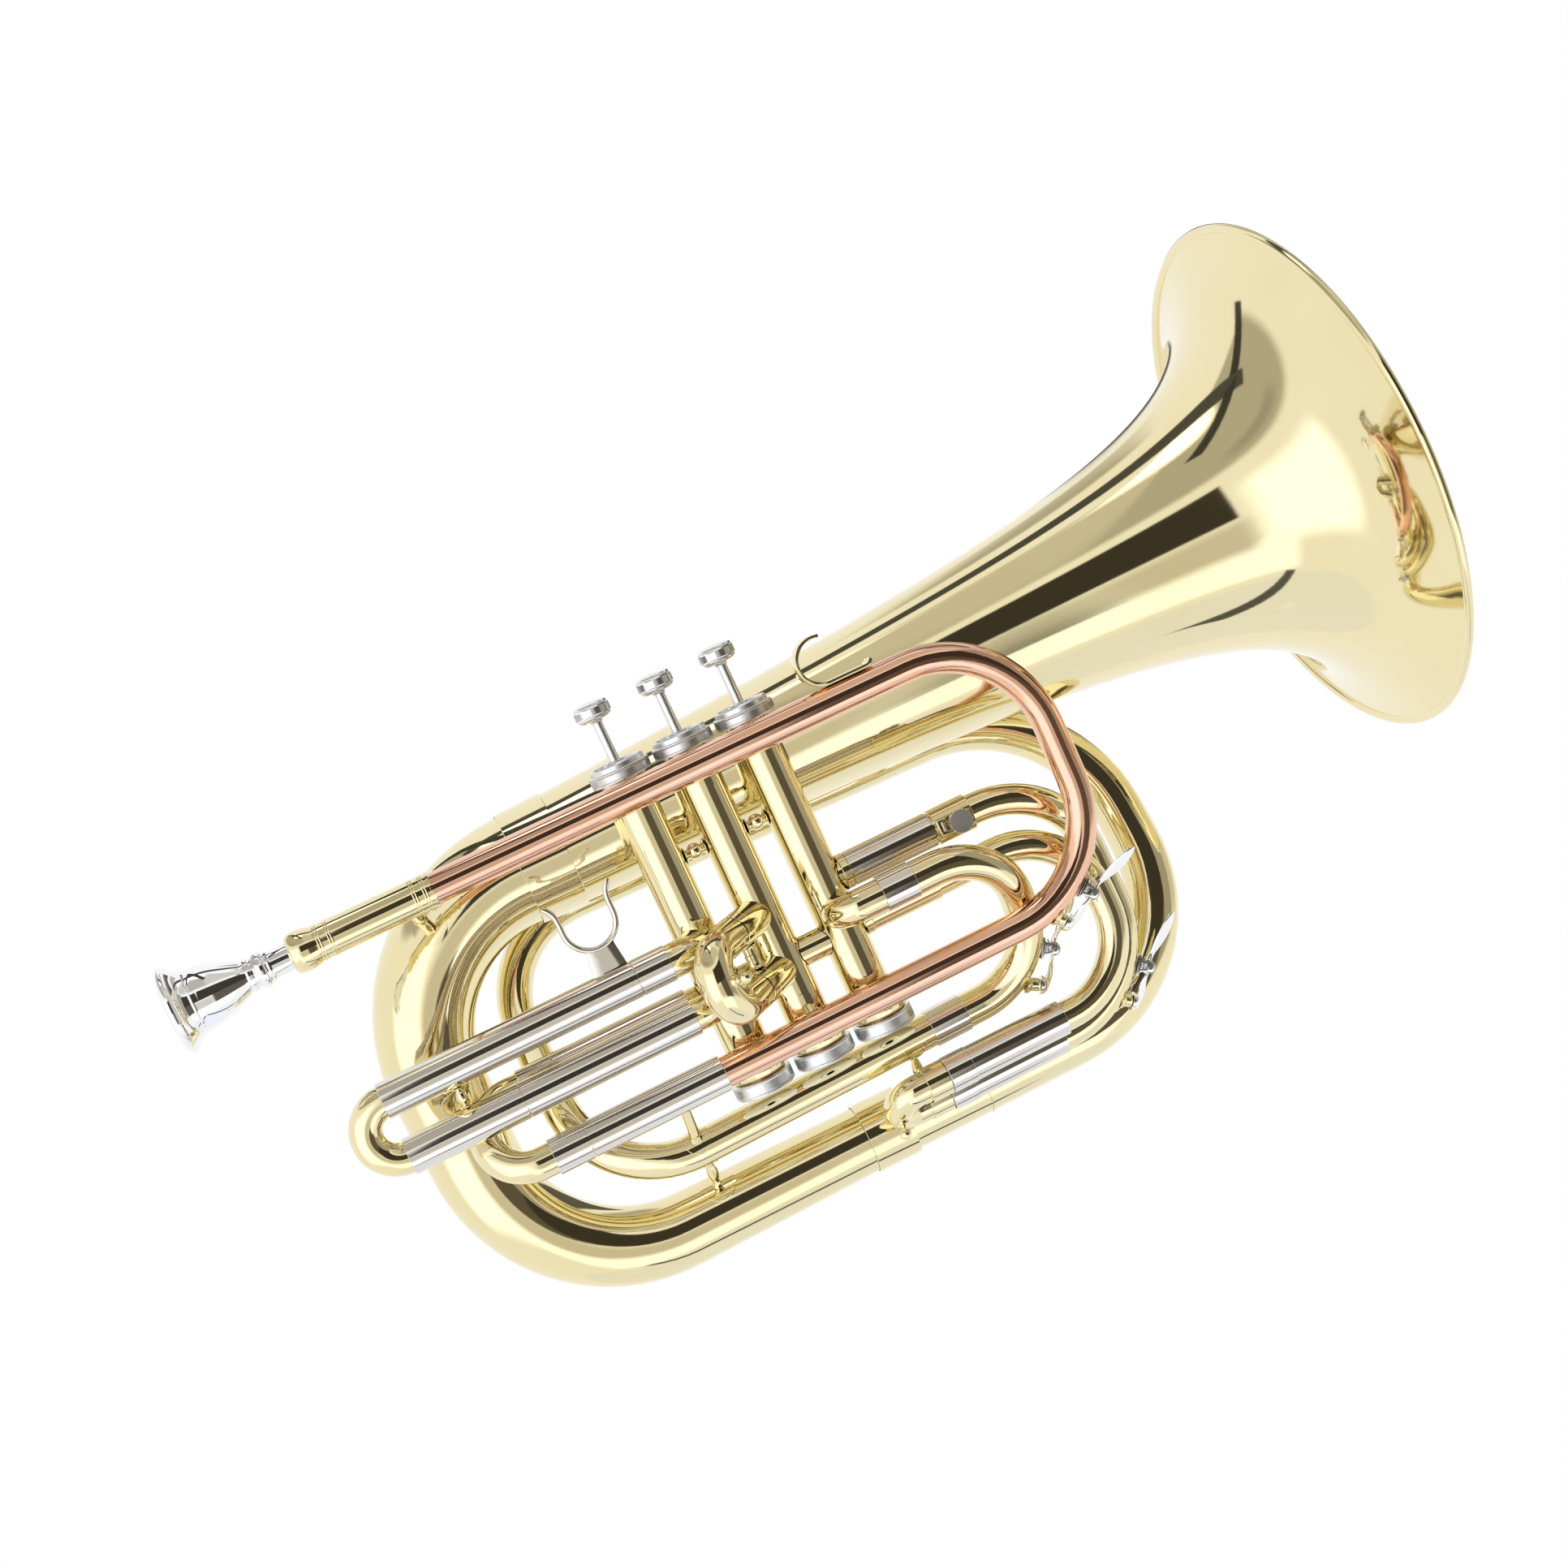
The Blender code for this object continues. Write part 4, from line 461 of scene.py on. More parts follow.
def lathe(name: str, profile: Sequence[tuple[float, float]], centre: Vector, direction: Vector,
          steps: int = 64) -> bpy.types.Object:
    """Spin a closed profile of radius and height about its height.

    Args:
        name: The piece's name.
        profile: Radius and height of each point, in order round the section.
        centre: Where the profile's origin goes.
        direction: Where its height points.
        steps: How many steps the turn has.

    Returns:
        The turned piece as a mesh object at the origin.
    """
    deselect()
    bpy.ops.mesh.primitive_circle_add(vertices=len(profile), radius=0.01, location=(0.0, 0.0, 0.0))
    piece = bpy.context.active_object
    piece.name = name
    for corner, (radius, height) in zip(piece.data.vertices, profile):
        corner.co = (radius, 0.0, height)
    bpy.ops.object.mode_set(mode="EDIT")
    bpy.ops.mesh.select_all(action="SELECT")
    bpy.ops.mesh.spin(steps=steps, angle=math.tau, center=(0.0, 0.0, 0.0), axis=(0.0, 0.0, 1.0))
    bpy.ops.mesh.select_all(action="SELECT")
    bpy.ops.mesh.remove_doubles(threshold=0.000002)
    bpy.ops.mesh.delete_loose(use_verts=True, use_edges=True, use_faces=False)
    bpy.ops.mesh.select_all(action="SELECT")
    bpy.ops.mesh.normals_make_consistent(inside=False)
    bpy.ops.object.mode_set(mode="OBJECT")
    bake_place(piece, frame_along(centre, direction))
    return piece


def knurl(piece: bpy.types.Object, centre: Vector, direction: Vector, least: float, depth: float, steps: int,
          band: tuple[float, float]) -> None:
    """Cut straight knurling into the rim of a turned piece, a groove at every other step.

    Args:
        piece: The turned piece.
        centre: A point on its axis.
        direction: Its axis.
        least: The radius from which on points belong to the rim.
        depth: How deep each groove is.
        steps: How many steps the turn has.
        band: The lowest and highest place along the axis, from the centre.
    """
    away = frame_along(centre, direction).inverted()
    home = frame_along(centre, direction)
    for corner in piece.data.vertices:
        local = away @ corner.co
        radius = math.hypot(local.x, local.y)
        index = round(math.atan2(local.y, local.x) / math.tau * steps)
        if radius > least and band[0] < local.z < band[1] and index % 2 == 0:
            share = (radius - depth) / radius
            corner.co = home @ Vector((local.x * share, local.y * share, local.z))


def slab(name: str, low: Vector, high: Vector, rounding: float) -> bpy.types.Object:
    """Make a block between two corners with rounded edges.

    Args:
        name: The piece's name.
        low: Its lowest corner.
        high: Its highest corner.
        rounding: The width of the bevel on its edges.

    Returns:
        The block as a mesh object at the origin.
    """
    deselect()
    bpy.ops.mesh.primitive_cube_add(size=1.0, location=(0.0, 0.0, 0.0))
    piece = bpy.context.active_object
    piece.name = name
    span = high - low
    bake_place(piece, Matrix.Translation((low + high) / 2) @ Matrix.Diagonal((*span, 1.0)))
    edge = piece.modifiers.new("edge", "BEVEL")
    edge.width = rounding
    edge.segments = 3
    apply_all(piece)
    return piece


def ribbon(name: str, outline: Sequence[Vector], width: float, place: Matrix,
           rounding: float) -> bpy.types.Object:
    """Extrude a flat outline to a width, centred on its plane, and round its edges.

    Args:
        name: The piece's name.
        outline: The corners of the outline in its own plane.
        width: How wide the extrusion is.
        place: The matrix that takes the outline's plane to its place.
        rounding: The width of the bevel on its edges.

    Returns:
        The solid strip at the origin.
    """
    deselect()
    bpy.ops.mesh.primitive_circle_add(vertices=len(outline), radius=0.01, fill_type="NGON",
                                      location=(0.0, 0.0, 0.0))
    piece = bpy.context.active_object
    piece.name = name
    for corner, spot in zip(piece.data.vertices, outline):
        corner.co = (spot.x, spot.y, -width / 2)
    bpy.ops.object.mode_set(mode="EDIT")
    bpy.ops.mesh.select_all(action="SELECT")
    bpy.ops.mesh.extrude_region_move(TRANSFORM_OT_translate={"value": (0.0, 0.0, width)})
    bpy.ops.mesh.select_all(action="SELECT")
    bpy.ops.mesh.normals_make_consistent(inside=False)
    bpy.ops.object.mode_set(mode="OBJECT")
    edge = piece.modifiers.new("edge", "BEVEL")
    edge.width = rounding
    edge.segments = 2
    edge.limit_method = "ANGLE"
    edge.angle_limit = math.radians(40.0)
    apply_all(piece)
    bake_place(piece, place)
    return piece


def combine(name: str, pieces: Sequence[bpy.types.Object]) -> bpy.types.Object:
    """Join several meshes into one object.

    Args:
        name: The joined piece's name.
        pieces: The meshes, all at the origin.

    Returns:
        The joined object.
    """
    deselect()
    for item in pieces:
        item.select_set(True)
    bpy.context.view_layer.objects.active = pieces[0]
    bpy.ops.object.join()
    joined = bpy.context.active_object
    joined.name = name
    return joined


def saw(piece: bpy.types.Object, cutter: bpy.types.Object, way: Cut = Cut.AWAY) -> None:
    """Cut one mesh by another, or keep what they share, and remove the cutter.

    Args:
        piece: The mesh that is cut.
        cutter: The mesh that it is cut by.
        way: What is left of the piece.
    """
    step = piece.modifiers.new("cut", "BOOLEAN")
    step.operation = way.value
    step.solver = "EXACT"
    step.object = cutter
    apply_all(piece)
    bpy.data.objects.remove(cutter, do_unlink=True)


def rod(name: str, radius: float, start: Vector, end: Vector, sides: int = 48) -> bpy.types.Object:
    """Make a plain round rod between two points, to cut with or to join.

    Args:
        name: The piece's name.
        radius: Its radius.
        start: The middle of its first end.
        end: The middle of its other end.
        sides: How many sides its section has.

    Returns:
        The rod as a mesh object at the origin.
    """
    deselect()
    bpy.ops.mesh.primitive_cylinder_add(vertices=sides, radius=radius, depth=(end - start).length)
    piece = bpy.context.active_object
    piece.name = name
    bake_place(piece, frame_along((start + end) / 2, (end - start).normalized()))
    return piece


def open_at_casing(piece: bpy.types.Object, x: float) -> None:
    """Cut away what a tube would put inside the casing whose axis stands at an x."""
    saw(piece, rod("cutter", CASING_CLEARANCE, Vector((x, 0.0, -0.08)), Vector((x, 0.0, 0.05)), 96))


def sleeved(outer: float, inner: float, half: float) -> Profile:
    """Return the closed profile of a plain sleeve with eased ends.

    Args:
        outer: Its outer radius.
        inner: Its inner radius.
        half: Half its length.

    Returns:
        Radius and height of each point.
    """
    ease = 0.00018
    return [(inner, half), (outer - ease, half), (outer, half - ease), (outer, ease - half),
            (outer - ease, -half), (inner, -half)]


def laid_disc(name: str, centre: Vector, axis: Vector, toward: Vector, tube: float, size: float,
              thick: float = 0.0005) -> bpy.types.Object:
    """Make a thin round flange that lies on a tube and follows its curve.

    Args:
        name: The piece's name.
        centre: The point of the tube's axis under the flange.
        axis: The tube's direction.
        toward: The direction from the tube's axis to the flange's middle.
        tube: The tube's outer radius.
        size: The flange's radius.
        thick: Its thickness.

    Returns:
        The flange as a mesh object at the origin.
    """
    reach = axis.normalized() * (size * 1.6)
    out = toward.normalized()
    disc = rod(name, size, centre + out * (tube * 0.15), centre + out * (tube + thick + 0.003), 72)
    saw(disc, rod("cutter", tube + thick, centre - reach, centre + reach, 128), Cut.SHARED)
    saw(disc, rod("cutter", tube - 0.0001, centre - reach * 1.2, centre + reach * 1.2, 128))
    return disc


@dataclass
class Tubing:
    """Sizes that all the cylindrical tubes share."""

    radius: float = 0.0072
    sleeve: float = 0.0082
    sleeve_bore: float = 0.0076
    gap: float = 0.0003
    fit: float = 0.0001


@dataclass
class ValveBlock:
    """The three casings with their caps, pistons, buttons, links and ball braces."""

    casing: float = 0.0102
    bore: float = 0.0094
    half: float = 0.0760
    cap: float = 0.0140
    cap_top: float = 0.0805
    cap_low: float = -0.0801
    lift: float = 0.0185
    piston: float = 0.0091
    piston_top: float = 0.0570
    piston_low: float = -0.0350
    button: float = 0.0082
    link_z: float = -0.0315
    link: float = 0.0070
    brace_z: float = 0.0300
    steps: int = 64
    teeth: int = 168
    tooth: float = 0.00030

    def axis(self, number: int) -> Vector:
        """Return the foot of one valve's axis at the casing's mid-height."""
        return Vector(((number - 2) * VALVE_SPACING, 0.0, 0.0))

    def build(self) -> None:
        """Build the whole valve block."""
        for number in (1, 2, 3):
            self.build_casing(number)
            self.build_caps(number)
            self.build_piston(number)
            dress_node(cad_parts[f"valve_{number}_spring"], STEEL)
        self.build_links()
        self.build_leadpipe_stays()

    def build_casing(self, number: int) -> None:
        """Build one casing with its upper band, its plain wall and its lower collar.

        Args:
            number: Which valve, from 1 to 3.
        """
        r = self.casing
        low = -0.0722
        band = [(r, 0.0702), (r + 0.0007, 0.0698), (r + 0.0007, 0.0672), (r, 0.0668)]
        # The rows along the plain wall keep its shading even.
        wall = [(r, height) for height in (0.0660, 0.0300, -0.0200, low + 0.0090)]
        collar = [(r, low + 0.0080), (r + 0.0012, low + 0.0076), (r + 0.0022, low + 0.0062),
                  (r + 0.0024, low + 0.0050), (r + 0.0024, low + 0.0010), (r + 0.0018, low), (r, low)]
        inside = [(r, -self.half), (self.bore, -self.half), (self.bore, self.half)]
        profile = [(r, self.half)] + band + wall + collar + inside
        casing = lathe(f"valve_{number}_casing_tube", profile, self.axis(number), UP, self.steps)
        settle(casing, LACQUER, "horn", f"valve_{number}_casing")

    def build_caps(self, number: int) -> None:
        """Build one casing's knurled top and bottom caps.

        Args:
            number: Which valve, from 1 to 3.
        """
        c = self.cap
        top = self.cap_top
        inner = self.casing + 0.0003
        step = top - 0.0025
        rows = [step - 0.0010 - i * 0.00052 for i in range(1, 7)]
        profile = [(0.0027, top), (0.0052, top), (0.0056, top - 0.0004), (0.0056, top - 0.0010),
                   (0.0104, top - 0.0010), (0.0108, top - 0.0002), (0.0112, top), (0.0119, top),
                   (0.0125, top - 0.0006), (0.0126, step), (c - 0.0005, step - 0.0001), (c, step - 0.0005),
                   (c, step - 0.0008), (c - 0.00025, step - 0.0009), (c, step - 0.0010)]
        profile += [(c, row) for row in rows]
        profile += [(c, 0.0738), (c - 0.00025, 0.0737), (c, 0.0736), (c, 0.0730), (c - 0.0005, 0.0726),
                    (inner, 0.0725), (inner, 0.0763), (0.0027, 0.0763)]
        lid = lathe(f"valve_{number}_upper_cap", profile, self.axis(number), UP, self.teeth)
        self.score_rows(lid, number, c, rows)
        settle(lid, KNURL, "horn", f"valve_{number}_top_cap", angle=20.0)
        low = self.cap_low
        rows = [-0.0734 - i * 0.00056 for i in range(1, 9)]
        profile = [(inner, -0.0725), (c - 0.0005, -0.0726), (c, -0.0730), (c, -0.0733),
                   (c - 0.00025, -0.0734), (c, -0.0735)]
        profile += [(c, row) for row in rows]
        profile += [(c, low + 0.0017), (c - 0.00025, low + 0.0016), (c, low + 0.0015), (c, low + 0.0010),
                    (c - 0.0007, low + 0.0004), (c * 0.82, low + 0.0002), (c * 0.74, low), (c * 0.36, low),
                    (c * 0.30, low + 0.0005), (0.0022, low + 0.0006), (0.0022, -0.0763), (inner, -0.0763)]
        lid = lathe(f"valve_{number}_lower_cap", profile, self.axis(number), UP, self.teeth)
        self.score_rows(lid, number, c, rows)
        settle(lid, KNURL, "horn", f"valve_{number}_bottom_cap", angle=20.0)

    def score_rows(self, piece: bpy.types.Object, number: int, radius: float, rows: Sequence[float]) -> None:
        """Press a diamond knurl into a rim, with each row set off from the row above.

        Args:
            piece: The turned piece.
            number: Which valve it stands on, from 1 to 3.
            radius: The rim's radius.
            rows: The height of each row.
        """
        axis = self.axis(number)
        for turn, row in enumerate(rows):
            for corner in piece.data.vertices:
                local = corner.co - axis
                if abs(local.z - row) > 0.00001 or math.hypot(local.x, local.y) < radius - 0.00005:
                    continue
                index = round(math.atan2(local.y, local.x) / math.tau * self.teeth) + turn
                if index % 2:
                    share = (radius - self.tooth) / radius
                    corner.co = Vector((axis.x + local.x * share, axis.y + local.y * share, corner.co.z))

    def build_piston(self, number: int) -> None:
        """Build one piston with its stem and collar, the finger button on it, and the ring round its stem.

        Args:
            number: Which valve, from 1 to 3.
        """
        axis = self.axis(number)
        body = f"valve_{number}"
        r = self.piston
        head = self.piston_top
        seat = self.cap_top + self.lift
        profile = [(0.0, seat + 0.0038), (0.0020, seat + 0.0038), (0.0020, seat + 0.0001),
                   (0.0024, seat - 0.0001), (0.0024, head), (r - 0.0006, head), (r, head - 0.0006),
                   (r, self.piston_low), (r - 0.0010, self.piston_low), (r - 0.0010, head - 0.0020),
                   (0.0, head - 0.0020)]
        shell = lathe(f"valve_{number}_piston_shell", profile, axis, UP, 48)
        settle(shell, SATIN, body, f"valve_{number}_piston")
        b = self.button
        top = seat + 0.0100
        rows = [top - 0.0023 - i * 0.00053 for i in range(1, 8)]
        profile = [(0.0, top), (b * 0.40, top - 0.0001), (b * 0.74, top - 0.0005), (b * 0.90, top - 0.0010),
                   (b - 0.0005, top - 0.0014), (b - 0.0003, top - 0.0018), (b - 0.0006, top - 0.0020),
                   (b - 0.0002, top - 0.0023)]
        profile += [(b, row) for row in rows]
        profile += [(b - 0.0002, top - 0.0065), (b - 0.0006, top - 0.0068), (b - 0.0004, top - 0.0071),
                    (b - 0.0007, top - 0.0076), (b * 0.78, top - 0.0083), (0.0040, top - 0.0087),
                    (0.0030, top - 0.0090), (0.0026, top - 0.0096), (0.0026, seat), (0.0021, seat),
                    (0.0021, seat + 0.0043), (0.0, seat + 0.0043)]
        button = lathe(f"valve_{number}_finger_button", profile, axis, UP, self.teeth)
        self.score_rows(button, number, b, rows)
        settle(button, SATIN, body, f"valve_{number}_button", angle=20.0)
        felt = [(0.0040, 0.0008), (0.0044, 0.0005), (0.0044, 0.0001), (0.0027, 0.0), (0.0027, 0.0008)]
        ring = lathe(f"valve_{number}_stem_felt_ring", felt, axis + UP * self.cap_top, UP, 40)
        settle(ring, SATIN, "horn")

    def build_links(self) -> None:
        """Build the short passages and ball braces between neighbouring casings."""
        level = UP * self.link_z
        slide_port = UP * -0.0345
        half = VALVE_SPACING / 2 - self.casing
        cone = 0.0040
        arc = [(0.0037 * math.cos(a), 0.0037 * math.sin(a)) for a in
               (math.radians(56 - 112 * i / 12) for i in range(13))]
        profile = [(0.0, half), (cone, half), (cone - 0.0006, half - 0.0005), (0.0020, half - 0.0012)] + arc
        profile += [(0.0020, -half + 0.0012), (cone - 0.0006, -half + 0.0005), (cone, -half), (0.0, -half)]
        for first in (1, 2):
            left = self.axis(first)
            right = self.axis(first + 1)
            name = f"valve_{first}_{first + 1}"
            link = pipe(f"{name}_passage", [left + level, right + level], [self.link] * 2, 40)
            open_at_casing(link, left.x)
            open_at_casing(link, right.x)
            if first == 1:
                saw(link, rod("cutter", 0.0085, slide_port, slide_port + SecondSlide.heading() * 0.032))
            settle(link, LACQUER, "horn", f"{name}_link")
            middle = (left + right) / 2
            ball = lathe(f"casing_ball_{first}", profile, middle + UP * self.brace_z, ALONG_X, 40)
            settle(ball, LACQUER, "horn")

    def build_leadpipe_stays(self) -> None:
        """Build the two flanged stubs that hold the leadpipe to the middle casing."""
        stays = (("upper", 0.0615, 0.0020, 0.0084), ("lower", -0.0535, -0.0036, 0.0070))
        for name, height, lean, size in stays:
            spot = UP * height
            disc = laid_disc(f"leadpipe_{name}_flange", spot, UP, TO_RIGHT, self.casing, size, 0.0006)
            stub = rod("stub", 0.0032, spot + TO_RIGHT * 0.0098, spot + TO_RIGHT * 0.0130 + UP * lean, 32)
            settle(combine(f"leadpipe_{name}_stay", [disc, stub]), LACQUER, "horn")


def dress_node(node: bpy.types.Object, finish: Finish) -> None:
    """Give a CAD node that stays in sight its finish."""
    for slot in node.material_slots:
        slot.material = finish.material()


@dataclass
class Mouthpipe:
    """Mouthpiece, receiver, leadpipe and finger hook."""

    y: float = -0.0185
    top_z: float = 0.0655
    low_z: float = -0.0607
    right_x: float = 0.1499
    bow: float = 0.0500
    radius: float = 0.0070
    rim_x: float = -0.2425
    rim: float = 0.0193
    receiver_x: float = -0.1895
    start_x: float = -0.1365
    end_x: float = -0.0517
    hook_x: float = 0.0670
    hook: float = 0.0105

    def build(self) -> None:
        """Build every piece of the mouthpipe."""
        self.build_mouthpiece()
        self.build_receiver()
        self.build_leadpipe()
        self.build_hook()

    def build_mouthpiece(self) -> None:
        """Build the mouthpiece with its rolled rim, cup, collar rings, shank and bore."""
        r = self.rim * 1000.0
        outside = [(14.4, 0.6), (15.6, 0.1), (16.8, 0.0), (18.0, 0.4), (18.9, 1.2), (r, 2.2), (r - 0.1, 3.0),
                   (18.7, 3.7), (17.9, 4.2), (17.7, 4.5), (17.9, 4.8), (17.5, 5.1), (16.3, 5.9), (15.4, 6.9),
                   (14.7, 8.1), (14.2, 9.4), (14.0, 10.1), (14.3, 10.4), (14.3, 10.8), (13.8, 11.1),
                   (13.6, 11.6), (13.6, 13.4), (13.4, 16.0), (12.9, 19.0), (12.1, 22.0), (11.0, 25.0),
                   (9.8, 27.8), (8.7, 30.2), (7.7, 32.2), (7.1, 33.3), (7.0, 34.0), (7.5, 34.3), (7.6, 35.2),
                   (7.4, 36.1), (6.8, 36.5), (6.6, 37.2), (6.8, 37.9), (7.5, 38.4), (7.9, 39.6), (7.9, 40.9),
                   (7.5, 42.0), (6.8, 42.5), (6.6, 43.1), (6.9, 43.4), (6.9, 44.1), (6.4, 44.5), (6.2, 45.2),
                   (6.0, 52.0), (5.4, 82.0), (4.5, 82.0), (3.6, 42.0)]
        shape = [(radius / 1000.0, -depth / 1000.0) for radius, depth in outside]
        for i in range(13):
            angle = math.pi / 2 * i / 12
            shape.append((0.0033 + 0.0095 * math.sin(angle), -0.0012 - 0.0218 * math.cos(angle)))
        cup = lathe("mouthpiece_turned", shape, Vector((self.rim_x, self.y, self.top_z)), TO_PLAYER, 96)
        settle(cup, SILVER, "mouthpiece", "mouthpiece")

    def build_receiver(self) -> None:
        """Build the receiver with its bulbous mouth and its groups of scored rings."""
        r = 0.0078
        shape = [(0.0066, 0.0), (0.0076, -0.0003), (0.0086, -0.0015), (0.0091, -0.0034), (0.0092, -0.0056),
                 (0.0090, -0.0078), (0.0085, -0.0100), (0.0080, -0.0114), (r, -0.0120)]
        for start in (0.0126, 0.0138, 0.0174, 0.0186, 0.0560, 0.0572, 0.0606, 0.0618):
            shape += [(r, -start), (r + 0.0003, -start - 0.0001), (r + 0.0004, -start - 0.0004),
                      (r + 0.0003, -start - 0.0007), (r, -start - 0.0008)]
        shape += [(r, -0.0640), (r + 0.0003, -0.0641), (r + 0.0003, -0.0650), (0.0073, -0.0650),
                  (0.0073, -0.0527), (0.0064, -0.0527), (0.0064, 0.0)]
        piece = lathe("receiver_turned", shape, Vector((self.receiver_x, self.y, self.top_z)), TO_PLAYER, 64)
        settle(piece, LACQUER, "horn", "receiver")

    def build_leadpipe(self) -> None:
        """Build the rose-brass leadpipe with its large bow."""
        corners = [Vector((self.start_x, self.y, self.top_z)), Vector((self.right_x, self.y, self.top_z)),
                   Vector((self.right_x, self.y, self.low_z)), Vector((self.end_x, self.y, self.low_z))]
        points = route(corners, [self.bow] * 2)
        piece = pipe("leadpipe_tube", points, [self.radius] * len(points), 36)
        settle(piece, ROSE, "horn", "leadpipe")

    def build_hook(self) -> None:
        """Build the little-finger hook as a bent strip with rounded edges."""
        thick = 0.0018
        rest = self.top_z + self.radius + 0.0003 + thick / 2
        centre = Vector((self.hook_x, rest + self.hook))
        line = [Vector((0.0878, rest + 0.0022)), Vector((0.0868, rest + 0.0006)), Vector((0.0850, rest))]
        line += [centre + self.hook * Vector((math.cos(a), math.sin(a))) for a in
                 (math.radians(-90 - 200 * i / 24) for i in range(25))]
        outline = strip(line, thick)
        stand = Matrix.Translation((0, self.y, 0)) @ Matrix.Rotation(math.radians(90), 4, "X")
        piece = ribbon("finger_hook_strip", outline, 0.0090, stand, 0.0005)
        settle(piece, LACQUER, "horn", "pinky_hook")


def strip(line: Sequence[Vector], thick: float) -> list[Vector]:
    """Return the outline of a bent strip of even thickness along a flat centre line.

    Args:
        line: The points of the centre line.
        thick: The strip's thickness.

    Returns:
        The outline's corners, up one side and down the other.
    """
    left = []
    right = []
    for i, here in enumerate(line):
        run = (line[min(i + 1, len(line) - 1)] - line[max(i - 1, 0)]).normalized()
        side = Vector((-run.y, run.x)) * (thick / 2)
        left.append(here + side)
        right.append(here - side)
    return left + right[::-1]


def ferrule(name: str, start: Vector, end: Vector, radius: float, inner: float, finish: Finish, body: str,
            *nodes: str) -> None:
    """Build a plain ferrule between two points on a tube's axis.

    Args:
        name: The piece's name.
        start: Its first end.
        end: Its other end.
        radius: Its outer radius.
        inner: Its inner radius.
        finish: Its finish.
        body: The body that it moves with.
        nodes: The CAD nodes that it replaces.
    """
    half = (end - start).length / 2
    piece = lathe(name, sleeved(radius, inner, half), (start + end) / 2, (end - start).normalized(), 56)
    settle(piece, finish, body, *nodes)


@dataclass
class TuningSlide(Tubing):
    """The main tuning slide: two nickel outer tubes and the brass bow that pulls out of them."""

    low: tuple[float, float] = (-0.0185, -0.0607)
    high: tuple[float, float] = (0.0030, -0.0315)
    left_x: float = -0.1104
    right_x: float = -0.0457
    ferrule_length: float = 0.0164
    bow_x: float = -0.1507
    inner_x: float = -0.0532

    def at(self, x: float, level: tuple[float, float]) -> Vector:
        """Return the point at an x on the upper or lower leg."""
        return Vector((x, *level))

    def build(self) -> None:
        """Build the outer tubes, the bow and its ferrules."""
        ferrule("tuning_lower_sleeve", self.at(self.left_x, self.low), self.at(self.right_x, self.low),
                self.sleeve, self.sleeve_bore, NICKEL, "horn", "tuning_lower_outer")
        run = [self.at(self.left_x, self.high), self.at(-VALVE_SPACING, self.high)]
        leg = pipe("tuning_upper_leg", run, [self.radius] * 2)
        open_at_casing(leg, -VALVE_SPACING)
        settle(leg, LACQUER, "horn", "tuning_upper_outer")
        ferrule("tuning_upper_sleeve", self.at(self.left_x, self.high), self.at(self.right_x, self.high),
                self.sleeve, self.sleeve_bore, NICKEL, "horn")
        low = self.at(self.bow_x, self.low)
        high = self.at(self.bow_x, self.high)
        corners = [self.at(self.inner_x, self.low), low, high, self.at(self.inner_x, self.high)]
        points = route(corners, [(high - low).length / 2] * 2)
        bow = pipe("tuning_bow", points, [self.radius] * len(points))
        settle(bow, LACQUER, "tuning_slide", "tuning_slide_bow")
        end_x = self.left_x - self.gap
        for name, level in (("lower", self.low), ("upper", self.high)):
            end = self.at(end_x, level)
            ferrule(f"tuning_bow_{name}_ferrule", end - ALONG_X * self.ferrule_length, end, self.sleeve,
                    self.radius + self.fit, NICKEL, "tuning_slide")


